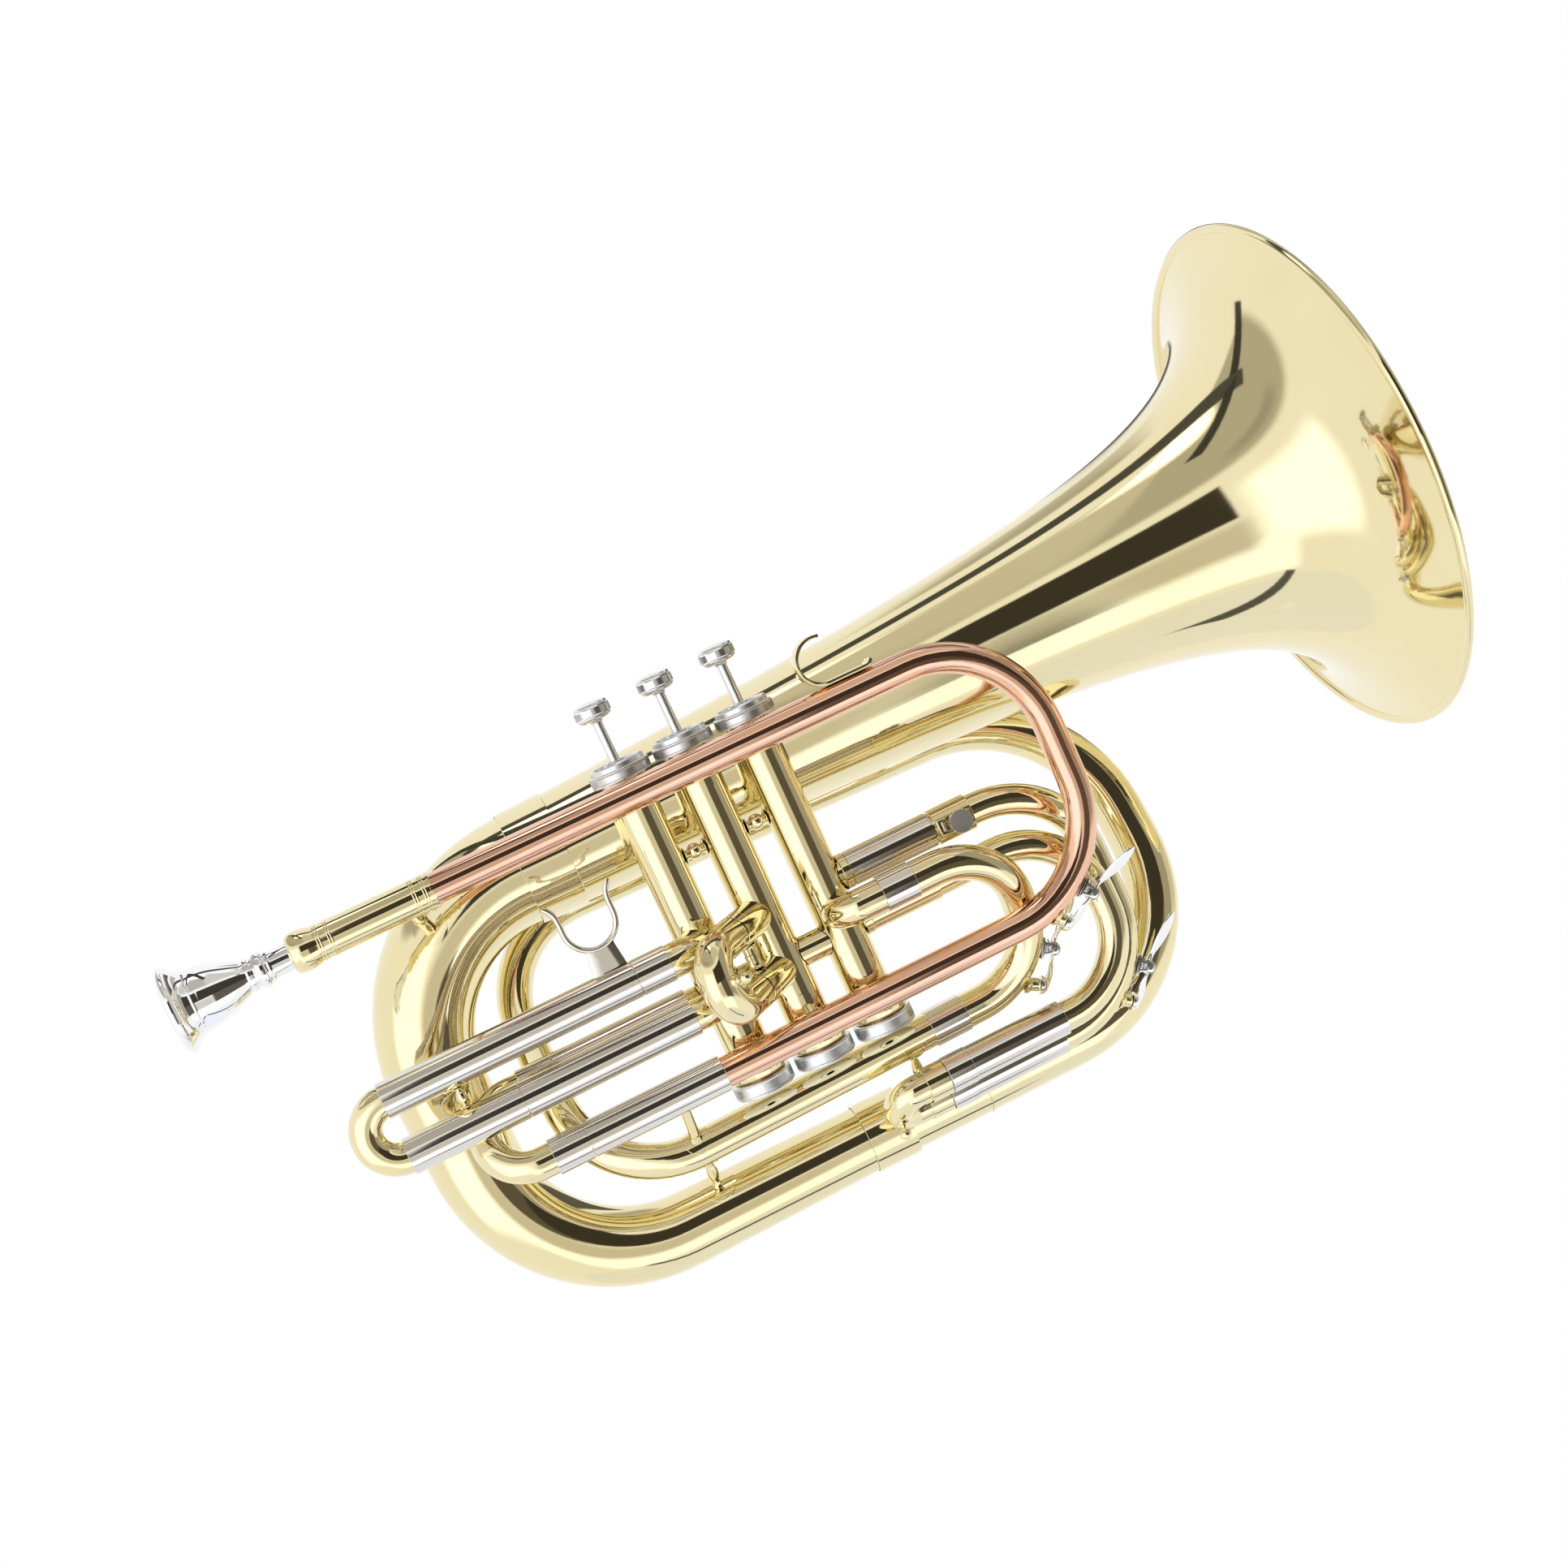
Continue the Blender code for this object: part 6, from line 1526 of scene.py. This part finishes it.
@dataclass
class Braces(Tubing):
    """The posts between the tubes, each with thin flanges that follow the tubes."""

    strut_x: float = -0.0675
    baluster_x: float = -0.0665
    post_x: float = 0.0386
    receiver_x: float = -0.1380
    foot_x: float = -0.1310
    slim: tuple[tuple[float, float], ...] = (
        (0.0, 0.0024), (0.84, 0.0024), (0.845, 0.0029), (0.975, 0.0029), (1.0, 0.0034))
    tulip: tuple[tuple[float, float], ...] = (
        (0.0, 0.0034), (0.08, 0.0025), (0.10, 0.0016), (0.16, 0.0014), (0.26, 0.0020), (0.40, 0.0026),
        (0.54, 0.0026), (0.68, 0.0021), (0.80, 0.0014), (0.84, 0.0016), (0.88, 0.0019), (0.92, 0.0016),
        (0.95, 0.0022), (1.0, 0.0034))
    sleeved_post: tuple[tuple[float, float], ...] = (
        (0.0, 0.0026), (0.46, 0.0024), (0.465, 0.0031), (0.52, 0.0033), (0.575, 0.0031), (0.58, 0.0029),
        (0.96, 0.0029), (1.0, 0.0036))

    def post(self, name: str, first: tuple[Vector, Vector, float, float],
             second: tuple[Vector, Vector, float, float], shape: Sequence[tuple[float, float]]) -> None:
        """Build one turned post between two tubes, with the thin flanges that it stands on.

        Args:
            name: The CAD node that the post stands for.
            first: A point on one tube's axis, its direction, its radius and the size of the flange on it.
            second: The same for the other tube.
            shape: The place of each ring of the post, as a share of its length, and its radius.
        """
        away = (second[0] - first[0]).normalized()
        start = first[0] + away * (first[2] - 0.0004)
        end = second[0] - away * (second[2] - 0.0004)
        full = (end - start).length
        profile = [(0.0, 0.0)] + [(radius, share * full) for share, radius in shape] + [(0.0, full)]
        parts = [lathe(f"{name}_turned", profile, start, away, 40)]
        for place, toward in ((first, away), (second, -away)):
            if place[3] > 0:
                parts.append(laid_disc("flange", place[0], place[1], toward, place[2], place[3]))
        settle(combine(f"{name}_turned", parts), LACQUER, "horn", name)

    def build(self, exit_tubing: ExitTubing, bell: BellTubing) -> None:
        """Build the four posts from the tubes that they stand between.

        Args:
            exit_tubing: The inner branch, which carries one end of three posts.
            bell: The bows, which carry the other end.
        """
        run = exit_tubing.corners[1] - exit_tubing.corners[0]
        near = exit_tubing.branch_end - 0.0002
        tuning = (TuningSlide().at(self.strut_x, TuningSlide.low), ALONG_X, self.sleeve, 0.0)
        self.post("tuning_strut", tuning, (exit_tubing.low_axis(self.strut_x), run, near, 0.0067), self.slim)
        branch = (exit_tubing.low_axis(self.baluster_x), run, near, 0.0058)
        bow = (bell.bottom_at(self.baluster_x), bell.bottom_left - bell.joint, 0.0168, 0.0084)
        self.post("bow_baluster", branch, bow, self.tulip)
        branch = (exit_tubing.low_axis(self.post_x), run, near, 0.0054)
        bow = (bell.bottom_at(self.post_x), bell.bottom_right - bell.joint, 0.0150, 0.0070)
        self.post("branch_post", branch, bow, self.tulip)
        points, radii = bell.back_path()
        i = [i for i in range(len(points) - 1) if points[i].z > 0 and points[i].x <= self.foot_x][-1]
        foot = points[i].lerp(points[i + 1], (self.foot_x - points[i].x) / (points[i + 1].x - points[i].x))
        receiver = Vector((self.receiver_x, Mouthpipe.y, Mouthpipe.top_z))
        self.post("receiver_brace", (receiver, ALONG_X, 0.0078, 0.0),
                  (foot, points[i + 1] - points[i], radii[i + 1], 0.0080), self.sleeved_post)


@dataclass
class WaterKey(Tubing):
    """One water key: its saddle and pin on the tube, the nipple under its cup, and the sprung lever."""

    number: int = 1
    centre: tuple[float, float] = (0.0, 0.0)
    bow: float = 0.05
    y: float = 0.0
    angle: float = -54.0
    tube: float = 0.0070
    height: float = 0.0062
    width: float = 0.0042
    tip: float = 0.0275
    cup: float = 0.0170
    ear: float = 0.0012
    pin: float = 0.0011
    hub: float = 0.0025
    coil: float = 0.0030
    wire: float = 0.00035

    def stand(self) -> Matrix:
        """Place the key on its bow.

        Returns:
            The key's frame: X along the bow, Y along the pin, Z away from the tube.
        """
        turn = math.radians(self.angle)
        out = Vector((math.cos(turn), 0, math.sin(turn)))
        along = Vector((-math.sin(turn), 0, math.cos(turn)))
        across = out.cross(along)
        middle = Vector((self.centre[0], self.y, self.centre[1]))
        pivot = middle + out * (self.bow + self.tube + self.height)
        return Matrix.Translation(pivot) @ Matrix((along, across, out)).transposed().to_4x4()

    def build(self) -> None:
        """Build the saddle, the lever and the nipple."""
        here = self.stand()
        low = -self.height
        inner = self.width / 2 + self.gap
        slope = [(0.0052, low + 0.0002), (0.0030, low + 0.0018), (0.0022, -0.0006), (0.0022, 0.0010),
                 (0.0012, 0.0022)]
        outline = [Vector(spot) for spot in slope] + [Vector((-along, up)) for along, up in slope[::-1]]
        ears = []
        for side in (-1, 1):
            shift = Matrix.Translation((0, side * (inner + self.ear / 2), 0))
            place = here @ shift @ Matrix.Rotation(math.pi / 2, 4, "X")
            ear = ribbon("ear", outline, self.ear, place, 0.0003)
            opening = slab("cutter", Vector((-0.0015, -0.0200, -0.0046)), Vector((0.0015, 0.0200, -0.0018)),
                           0.0002)
            bake_place(opening, here)
            saw(ear, opening)
            ears.append(ear)
        end = Vector((0, inner + 0.0017, 0))
        ears.append(rod("pin", self.pin, here @ -end, here @ end, 24))
        base = slab("base", Vector((-0.0050, -inner - self.ear, low + 0.0002)),
                    Vector((0.0050, inner + self.ear, low + 0.0014)), 0.0004)
        bake_place(base, here)
        ears.append(base)
        name = f"water_key_{self.number}"
        settle(combine(f"{name}_seat", ears), SATIN, "horn", f"{name}_saddle")
        self.build_lever(here)
        drop = self.bow + self.tube
        sink = math.sqrt(max(drop ** 2 - self.cup ** 2, 0.0)) - drop - self.height
        foot = here @ Vector((-self.cup, 0, sink - 0.0012))
        out = (here.to_3x3() @ Vector((0, 0, 1))).normalized()
        lift = -self.height + 0.0015 - sink + 0.0009
        profile = [(0.0029, lift), (0.0031, lift - 0.0004), (0.0031, 0.0024), (0.0042, 0.0012), (0.0044, 0.0),
                   (0.0, 0.0), (0.0, lift)]
        settle(lathe(f"{name}_nipple", profile, foot, out, 32), LACQUER, "horn")

    def build_lever(self, here: Matrix) -> None:
        """Build the lever with its leaf-shaped touch, its hub, its domed cup and its spring.

        Args:
            here: The key's frame.
        """
        seat = -self.height + 0.0015 + 0.0032
        line = [(-self.cup - 0.0030, seat + 0.0000, 0.0012), (-self.cup - 0.0010, seat + 0.0006, 0.0022),
                (-self.cup + 0.0020, seat + 0.0012, 0.0024), (-0.0120, seat + 0.0020, 0.0023),
                (-0.0085, 0.0002, 0.0023), (-0.0050, 0.0010, 0.0021), (0.0, 0.0012, self.width / 2),
                (0.0040, 0.0014, 0.0020), (0.0070, 0.0022, 0.0020), (0.0105, 0.0034, 0.0027),
                (0.0145, 0.0048, 0.0034), (0.0185, 0.0060, 0.0036), (0.0220, 0.0069, 0.0032),
                (0.0250, 0.0075, 0.0024), (self.tip, 0.0080, 0.0007)]
        arm = self.blade(line, here)
        end = Vector((0, self.width / 2, 0))
        hub = rod("hub", self.hub, here @ -end, here @ end, 32)
        out = (here.to_3x3() @ Vector((0, 0, 1))).normalized()
        foot = here @ Vector((-self.cup, 0, -self.height + 0.0015))
        dome = [(0.0, 0.0038), (0.0018, 0.0036), (0.0032, 0.0030), (0.0040, 0.0020), (0.0043, 0.0008),
                (0.0043, 0.0), (0.0, 0.0)]
        cup = lathe("cup", dome, foot, out, 40)
        coil = [here @ Vector((0.0115, -0.0017, 0.0022))]
        for i in range(1, 48):
            angle = math.radians(200 + 30 * i)
            across = -0.0016 + 0.0032 * i / 48
            coil.append(here @ Vector((self.coil * math.cos(angle), across, self.coil * math.sin(angle))))
        coil.append(here @ Vector((0.0042, 0.0017, -0.0034)))
        wire = bar("spring", coil, [self.wire] * len(coil), 8, True)
        name = f"water_key_{self.number}"
        settle(combine(f"{name}_arm", [arm, hub, cup, wire]), SILVER, name, f"{name}_lever")

    @staticmethod
    def blade(line: Sequence[tuple[float, float, float]], here: Matrix) -> bpy.types.Object:
        """Shape a grid into a long leaf and give it a thickness.

        Args:
            line: The place along the key, the height and half the width of each row.
            here: The key's frame.

        Returns:
            The leaf as a mesh object at the origin.
        """
        deselect()
        last = len(line) - 1
        bpy.ops.mesh.primitive_grid_add(x_subdivisions=last, y_subdivisions=4, size=1.0,
                                        location=(0.0, 0.0, 0.0))
        piece = bpy.context.active_object
        piece.name = "leaf"
        for corner in piece.data.vertices:
            place, height, half = line[round((corner.co.x + 0.5) * last)]
            across = corner.co.y * 2.0
            lean = math.radians(58) * min(max((abs(place) - 0.0030) / 0.0055, 0.0), 1.0)
            corner.co = (place, across * half * math.cos(lean),
                         height - 0.0006 * across * across - across * half * math.sin(lean))
        shell = piece.modifiers.new("wall", "SOLIDIFY")
        shell.thickness = 0.0011
        shell.offset = -1.0
        smooth = piece.modifiers.new("smooth", "SUBSURF")
        smooth.levels = 1
        smooth.render_levels = 1
        apply_all(piece)
        bake_place(piece, here)
        return piece


# Stage, light and camera

@dataclass(frozen=True)
class Panel:
    """One curved studio panel round the horn, as the polished metal sees it."""

    name: str
    azimuth: tuple[float, float]
    elevation: tuple[float, float]
    glow: float
    tint: tuple[float, float, float]
    fade: tuple[float, float]
    distance: float

    def place(self, across: float, up: float) -> Vector:
        """Return the point at a share of the panel's width and height.

        Args:
            across: The share of its width, from its left edge.
            up: The share of its height, from its low edge.

        Returns:
            The point.
        """
        azimuth = math.radians(self.azimuth[0] + (self.azimuth[1] - self.azimuth[0]) * across)
        elevation = math.radians(self.elevation[0] + (self.elevation[1] - self.elevation[0]) * up)
        level = math.cos(elevation)
        away = Vector((math.sin(azimuth) * level, -math.cos(azimuth) * level, math.sin(elevation)))
        return self.distance * away

    def build(self) -> None:
        """Bend a grid round the horn and give it a glow that only the metal sees."""
        deselect()
        bpy.ops.mesh.primitive_grid_add(x_subdivisions=18, y_subdivisions=10, size=1.0,
                                        location=(0.0, 0.0, 0.0))
        panel = bpy.context.active_object
        panel.name = self.name
        for corner in panel.data.vertices:
            corner.co = self.place(corner.co.x + 0.5, corner.co.y + 0.5)
        panel.data.materials.append(glow_material(self.name, self.glow, self.tint, self.fade))
        show_in_metal_only(panel)


@dataclass(frozen=True)
class Rail:
    """A long dark rail of the studio, straight between two points."""

    name: str
    start: tuple[float, float, float]
    end: tuple[float, float, float]
    width: float
    glow: float

    def build(self) -> None:
        """Lay a narrow strip between the two points, facing the horn."""
        deselect()
        bpy.ops.mesh.primitive_plane_add(size=1.0, location=(0.0, 0.0, 0.0))
        strip_piece = bpy.context.active_object
        strip_piece.name = self.name
        start = Vector(self.start)
        run = Vector(self.end) - start
        side = run.cross(start + run / 2).normalized() * self.width
        for corner in strip_piece.data.vertices:
            corner.co = start + run * (corner.co.x + 0.5) + side * corner.co.y
        strip_piece.data.materials.append(glow_material(self.name, self.glow, (1.0, 1.0, 0.95), (0.01, 0.12)))
        show_in_metal_only(strip_piece)


def show_in_metal_only(piece: bpy.types.Object) -> None:
    """Make a studio piece part of the stage, unseen by the camera and without a shadow.

    Args:
        piece: The panel or rail.
    """
    piece.visible_camera = False
    piece.visible_shadow = False


def glow_material(name: str, glow: float, tint: tuple[float, float, float],
                  fade: tuple[float, float]) -> bpy.types.Material:
    """Build a glowing material that fades out towards the edges of its panel.

    Args:
        name: The material's name.
        glow: How bright it is, where 1 is white.
        tint: Its colour.
        fade: The share of the width and of the height over which it fades.

    Returns:
        The material.
    """
    made = bpy.data.materials.new(name)
    made.use_nodes = True
    nodes = made.node_tree.nodes
    links = made.node_tree.links
    light = nodes.new("ShaderNodeEmission")
    light.inputs["Color"].default_value = (*tint, 1.0)
    light.inputs["Strength"].default_value = glow
    clear = nodes.new("ShaderNodeBsdfTransparent")
    place = nodes.new("ShaderNodeTexCoord")
    parts = nodes.new("ShaderNodeSeparateXYZ")
    links.new(place.outputs["UV"], parts.inputs[0])
    shares = []
    for axis in (0, 1):
        other = nodes.new("ShaderNodeMath")
        other.operation = "SUBTRACT"
        other.inputs[0].default_value = 1.0
        links.new(parts.outputs[axis], other.inputs[1])
        nearest = nodes.new("ShaderNodeMath")
        nearest.operation = "MINIMUM"
        links.new(parts.outputs[axis], nearest.inputs[0])
        links.new(other.outputs[0], nearest.inputs[1])
        ease = nodes.new("ShaderNodeMapRange")
        ease.interpolation_type = "SMOOTHSTEP"
        ease.inputs["From Max"].default_value = max(fade[axis], 0.001)
        links.new(nearest.outputs[0], ease.inputs["Value"])
        shares.append(ease)
    both = nodes.new("ShaderNodeMath")
    both.operation = "MULTIPLY"
    links.new(shares[0].outputs["Result"], both.inputs[0])
    links.new(shares[1].outputs["Result"], both.inputs[1])
    mix = nodes.new("ShaderNodeMixShader")
    links.new(both.outputs[0], mix.inputs["Fac"])
    links.new(clear.outputs[0], mix.inputs[1])
    links.new(light.outputs[0], mix.inputs[2])
    links.new(mix.outputs[0], nodes["Material Output"].inputs["Surface"])
    return made


def plainly_seen(tree: bpy.types.NodeTree) -> bpy.types.NodeSocket:
    """Add the nodes that tell the rays of the camera, of gloss and through glass from the rest.

    Args:
        tree: The nodes of a material or of the world.

    Returns:
        A socket that is 1 for such a ray and 0 for any other.
    """
    paths = tree.nodes.new("ShaderNodeLightPath")
    share = paths.outputs["Is Camera Ray"]
    for kind in ("Is Glossy Ray", "Is Transmission Ray"):
        most = tree.nodes.new("ShaderNodeMath")
        most.operation = "MAXIMUM"
        tree.links.new(share, most.inputs[0])
        tree.links.new(paths.outputs[kind], most.inputs[1])
        share = most.outputs[0]
    return share


COOL = (0.97, 1.0, 1.08)
WARM = (1.0, 0.96, 0.86)
DARK = (1.0, 0.86, 0.66)

PANELS = (
    Panel("left_soft_box", (-80.0, -12.0), (-36.0, 32.0), 1.55, COOL, (0.20, 0.20), 1.80),
    Panel("low_soft_box", (-34.0, 44.0), (-56.0, -20.0), 1.40, COOL, (0.12, 0.15), 1.74),
    Panel("upper_wall", (-148.0, 14.0), (39.0, 82.0), 0.50, WARM, (0.03, 0.14), 1.76),
    Panel("upper_right_wall", (8.0, 66.0), (39.0, 82.0), 0.66, WARM, (0.08, 0.14), 1.78),
    Panel("upper_shade", (-96.0, -12.0), (45.0, 56.0), 0.38, WARM, (0.30, 0.45), 1.70),
    Panel("front_step", (-17.0, 14.0), (-34.0, 5.0), 0.68, WARM, (0.25, 0.30), 1.64),
    Panel("front_block", (-12.0, 50.0), (1.0, 35.0), 0.05, DARK, (0.03, 0.07), 1.58),
    Panel("low_wall", (-180.0, 180.0), (-89.5, -57.0), 0.95, COOL, (0.0, 0.10), 1.45),
    Panel("front_low_block", (8.0, 52.0), (-30.0, 6.0), 0.12, DARK, (0.12, 0.10), 1.60),
    Panel("right_grey", (46.0, 82.0), (-28.0, 44.0), 0.40, WARM, (0.10, 0.12), 1.66),
    Panel("right_pale", (76.0, 112.0), (-28.0, 52.0), 0.70, WARM, (0.20, 0.15), 1.68),
    Panel("back_shade", (108.0, 158.0), (4.0, 33.0), 0.12, WARM, (0.06, 0.12), 1.62),
    Panel("back_wall", (66.0, 164.0), (38.0, 64.0), 0.50, WARM, (0.10, 0.20), 1.66),
)
RAILS = (
    Rail("overhead_rail", (-0.35, 0.15, 1.00), (1.20, 0.15, 1.00), 0.20, 0.08),
    Rail("upper_rail", (-0.60, 1.10, 1.00), (0.02, -0.42, 1.00), 0.10, 0.05),
    Rail("low_rail", (-0.27, -0.72, -1.11), (0.30, -0.02, -1.11), 0.09, 0.10),
)


@dataclass
class Studio:
    """Floor, world, lamp, panels and the camera at the photograph's angle."""

    eye: tuple[float, float, float] = (-0.11654, -0.94790, 0.14067)
    yaw: float = 9.0
    pitch: float = 6.0
    roll: float = 24.5
    lens: float = 50.0
    fill: tuple[float, float, float] = (0.93, 0.95, 1.0)
    fill_strength: float = 0.65
    floor: tuple[float, float, float] = (0.86, 0.86, 0.85)
    floor_z: float = -1.50
    lamp: tuple[float, float, float] = (-0.3, -0.2, 1.9)
    lamp_size: float = 0.9
    lamp_power: float = 3.0

    def build(self) -> None:
        """Build the whole studio."""
        self.build_camera()
        self.build_world()
        self.build_floor()
        self.build_lamp()
        self.build_panels()
        bpy.context.scene.view_settings.view_transform = "Standard"

    def axes(self) -> tuple[Vector, Vector, Vector]:
        """Turn the camera's axes by its yaw, pitch and roll.

        Returns:
            Its right, up and forward directions.
        """
        yaw = math.radians(self.yaw)
        pitch = math.radians(self.pitch)
        roll = math.radians(self.roll)
        ahead = Vector((math.sin(yaw) * math.cos(pitch), math.cos(yaw) * math.cos(pitch), -math.sin(pitch)))
        right = Vector((math.cos(yaw), -math.sin(yaw), 0.0))
        top = Vector((math.sin(yaw) * math.sin(pitch), math.cos(yaw) * math.sin(pitch), math.cos(pitch)))
        turned = right * math.cos(roll) - top * math.sin(roll)
        upward = right * math.sin(roll) + top * math.cos(roll)
        return turned, upward, ahead

    def build_camera(self) -> None:
        """Place the camera and make it the scene's."""
        right, top, ahead = self.axes()
        data = bpy.data.cameras.new("view")
        data.lens = self.lens
        data.sensor_width = 36.0
        eye = bpy.data.objects.new("view", data)
        bpy.context.scene.collection.objects.link(eye)
        turn = Matrix((right, top, -ahead)).transposed().to_4x4()
        eye.matrix_world = Matrix.Translation(self.eye) @ turn
        bpy.context.scene.camera = eye

    def build_world(self) -> None:
        """Give the world white for the camera and in reflections, and a gentle fill for the rest."""
        world = bpy.data.worlds.new("studio")
        bpy.context.scene.world = world
        world.use_nodes = True
        nodes = world.node_tree.nodes
        links = world.node_tree.links
        nodes.clear()
        out = nodes.new("ShaderNodeOutputWorld")
        white = nodes.new("ShaderNodeBackground")
        white.inputs["Color"].default_value = (1.0, 1.0, 1.0, 1.0)
        fill = nodes.new("ShaderNodeBackground")
        fill.inputs["Color"].default_value = (*self.fill, 1.0)
        fill.inputs["Strength"].default_value = self.fill_strength
        mix = nodes.new("ShaderNodeMixShader")
        links.new(plainly_seen(world.node_tree), mix.inputs["Fac"])
        links.new(fill.outputs[0], mix.inputs[1])
        links.new(white.outputs[0], mix.inputs[2])
        links.new(mix.outputs[0], out.inputs["Surface"])

    def floor_material(self) -> bpy.types.Material:
        """Build the floor's matt material, which shows white to the camera and in reflections.

        Returns:
            The material.
        """
        made = bpy.data.materials.new("pale_floor")
        made.use_nodes = True
        nodes = made.node_tree.nodes
        links = made.node_tree.links
        shader = nodes["Principled BSDF"]
        shader.inputs["Base Color"].default_value = (*self.floor, 1.0)
        shader.inputs["Roughness"].default_value = 0.9
        light = nodes.new("ShaderNodeEmission")
        light.inputs["Color"].default_value = (1.0, 1.0, 1.0, 1.0)
        mix = nodes.new("ShaderNodeMixShader")
        links.new(plainly_seen(made.node_tree), mix.inputs["Fac"])
        links.new(shader.outputs[0], mix.inputs[1])
        links.new(light.outputs[0], mix.inputs[2])
        links.new(mix.outputs[0], nodes["Material Output"].inputs["Surface"])
        return made

    def build_floor(self) -> None:
        """Lay the plain pale floor well below the horn, which is held in the air."""
        deselect()
        bpy.ops.mesh.primitive_plane_add(size=12.0, location=(0.0, 0.0, self.floor_z))
        floor = bpy.context.active_object
        floor.name = "pale_floor"
        floor.data.materials.append(self.floor_material())

    def build_lamp(self) -> None:
        """Hang one large soft lamp over the horn, at the level of the world's white."""
        place = Vector(self.lamp)
        data = bpy.data.lights.new("soft_lamp", "AREA")
        data.shape = "SQUARE"
        data.size = self.lamp_size
        data.energy = self.lamp_power
        lamp = bpy.data.objects.new("soft_lamp", data)
        bpy.context.scene.collection.objects.link(lamp)
        lamp.location = place
        lamp.rotation_mode = "QUATERNION"
        lamp.rotation_quaternion = (place * -1.0).to_track_quat("-Z", "Y")

    def build_panels(self) -> None:
        """Stand the soft boxes, walls and rails round the horn, for the streaks on its polished tubes."""
        for piece in PANELS + RAILS:
            piece.build()


def main() -> None:
    """Build the horn's pieces and the studio round them."""
    logging.basicConfig(level=logging.INFO, format="%(message)s")
    Studio().build()
    bell = BellTubing()
    bell.build()
    exit_tubing = ExitTubing()
    exit_tubing.build()
    Mouthpipe().build()
    ValveBlock().build()
    TuningSlide().build()
    FirstSlide().build()
    SecondSlide().build()
    ThirdSlide().build()
    Braces().build(exit_tubing, bell)
    WaterKey(number=1, centre=(0.0999, -0.0107), bow=0.0500, y=-0.0185, angle=-54.0, tube=0.0070).build()
    WaterKey(number=2, centre=(0.1080, -0.0770), bow=0.0455, y=0.0125, angle=-36.0, tube=0.0072).build()
    WaterKey(number=3, centre=(0.0750, -0.0583), bow=0.0330, y=0.0042, angle=-30.0, tube=0.0079).build()
    deselect()


if __name__ == "__main__":
    main()
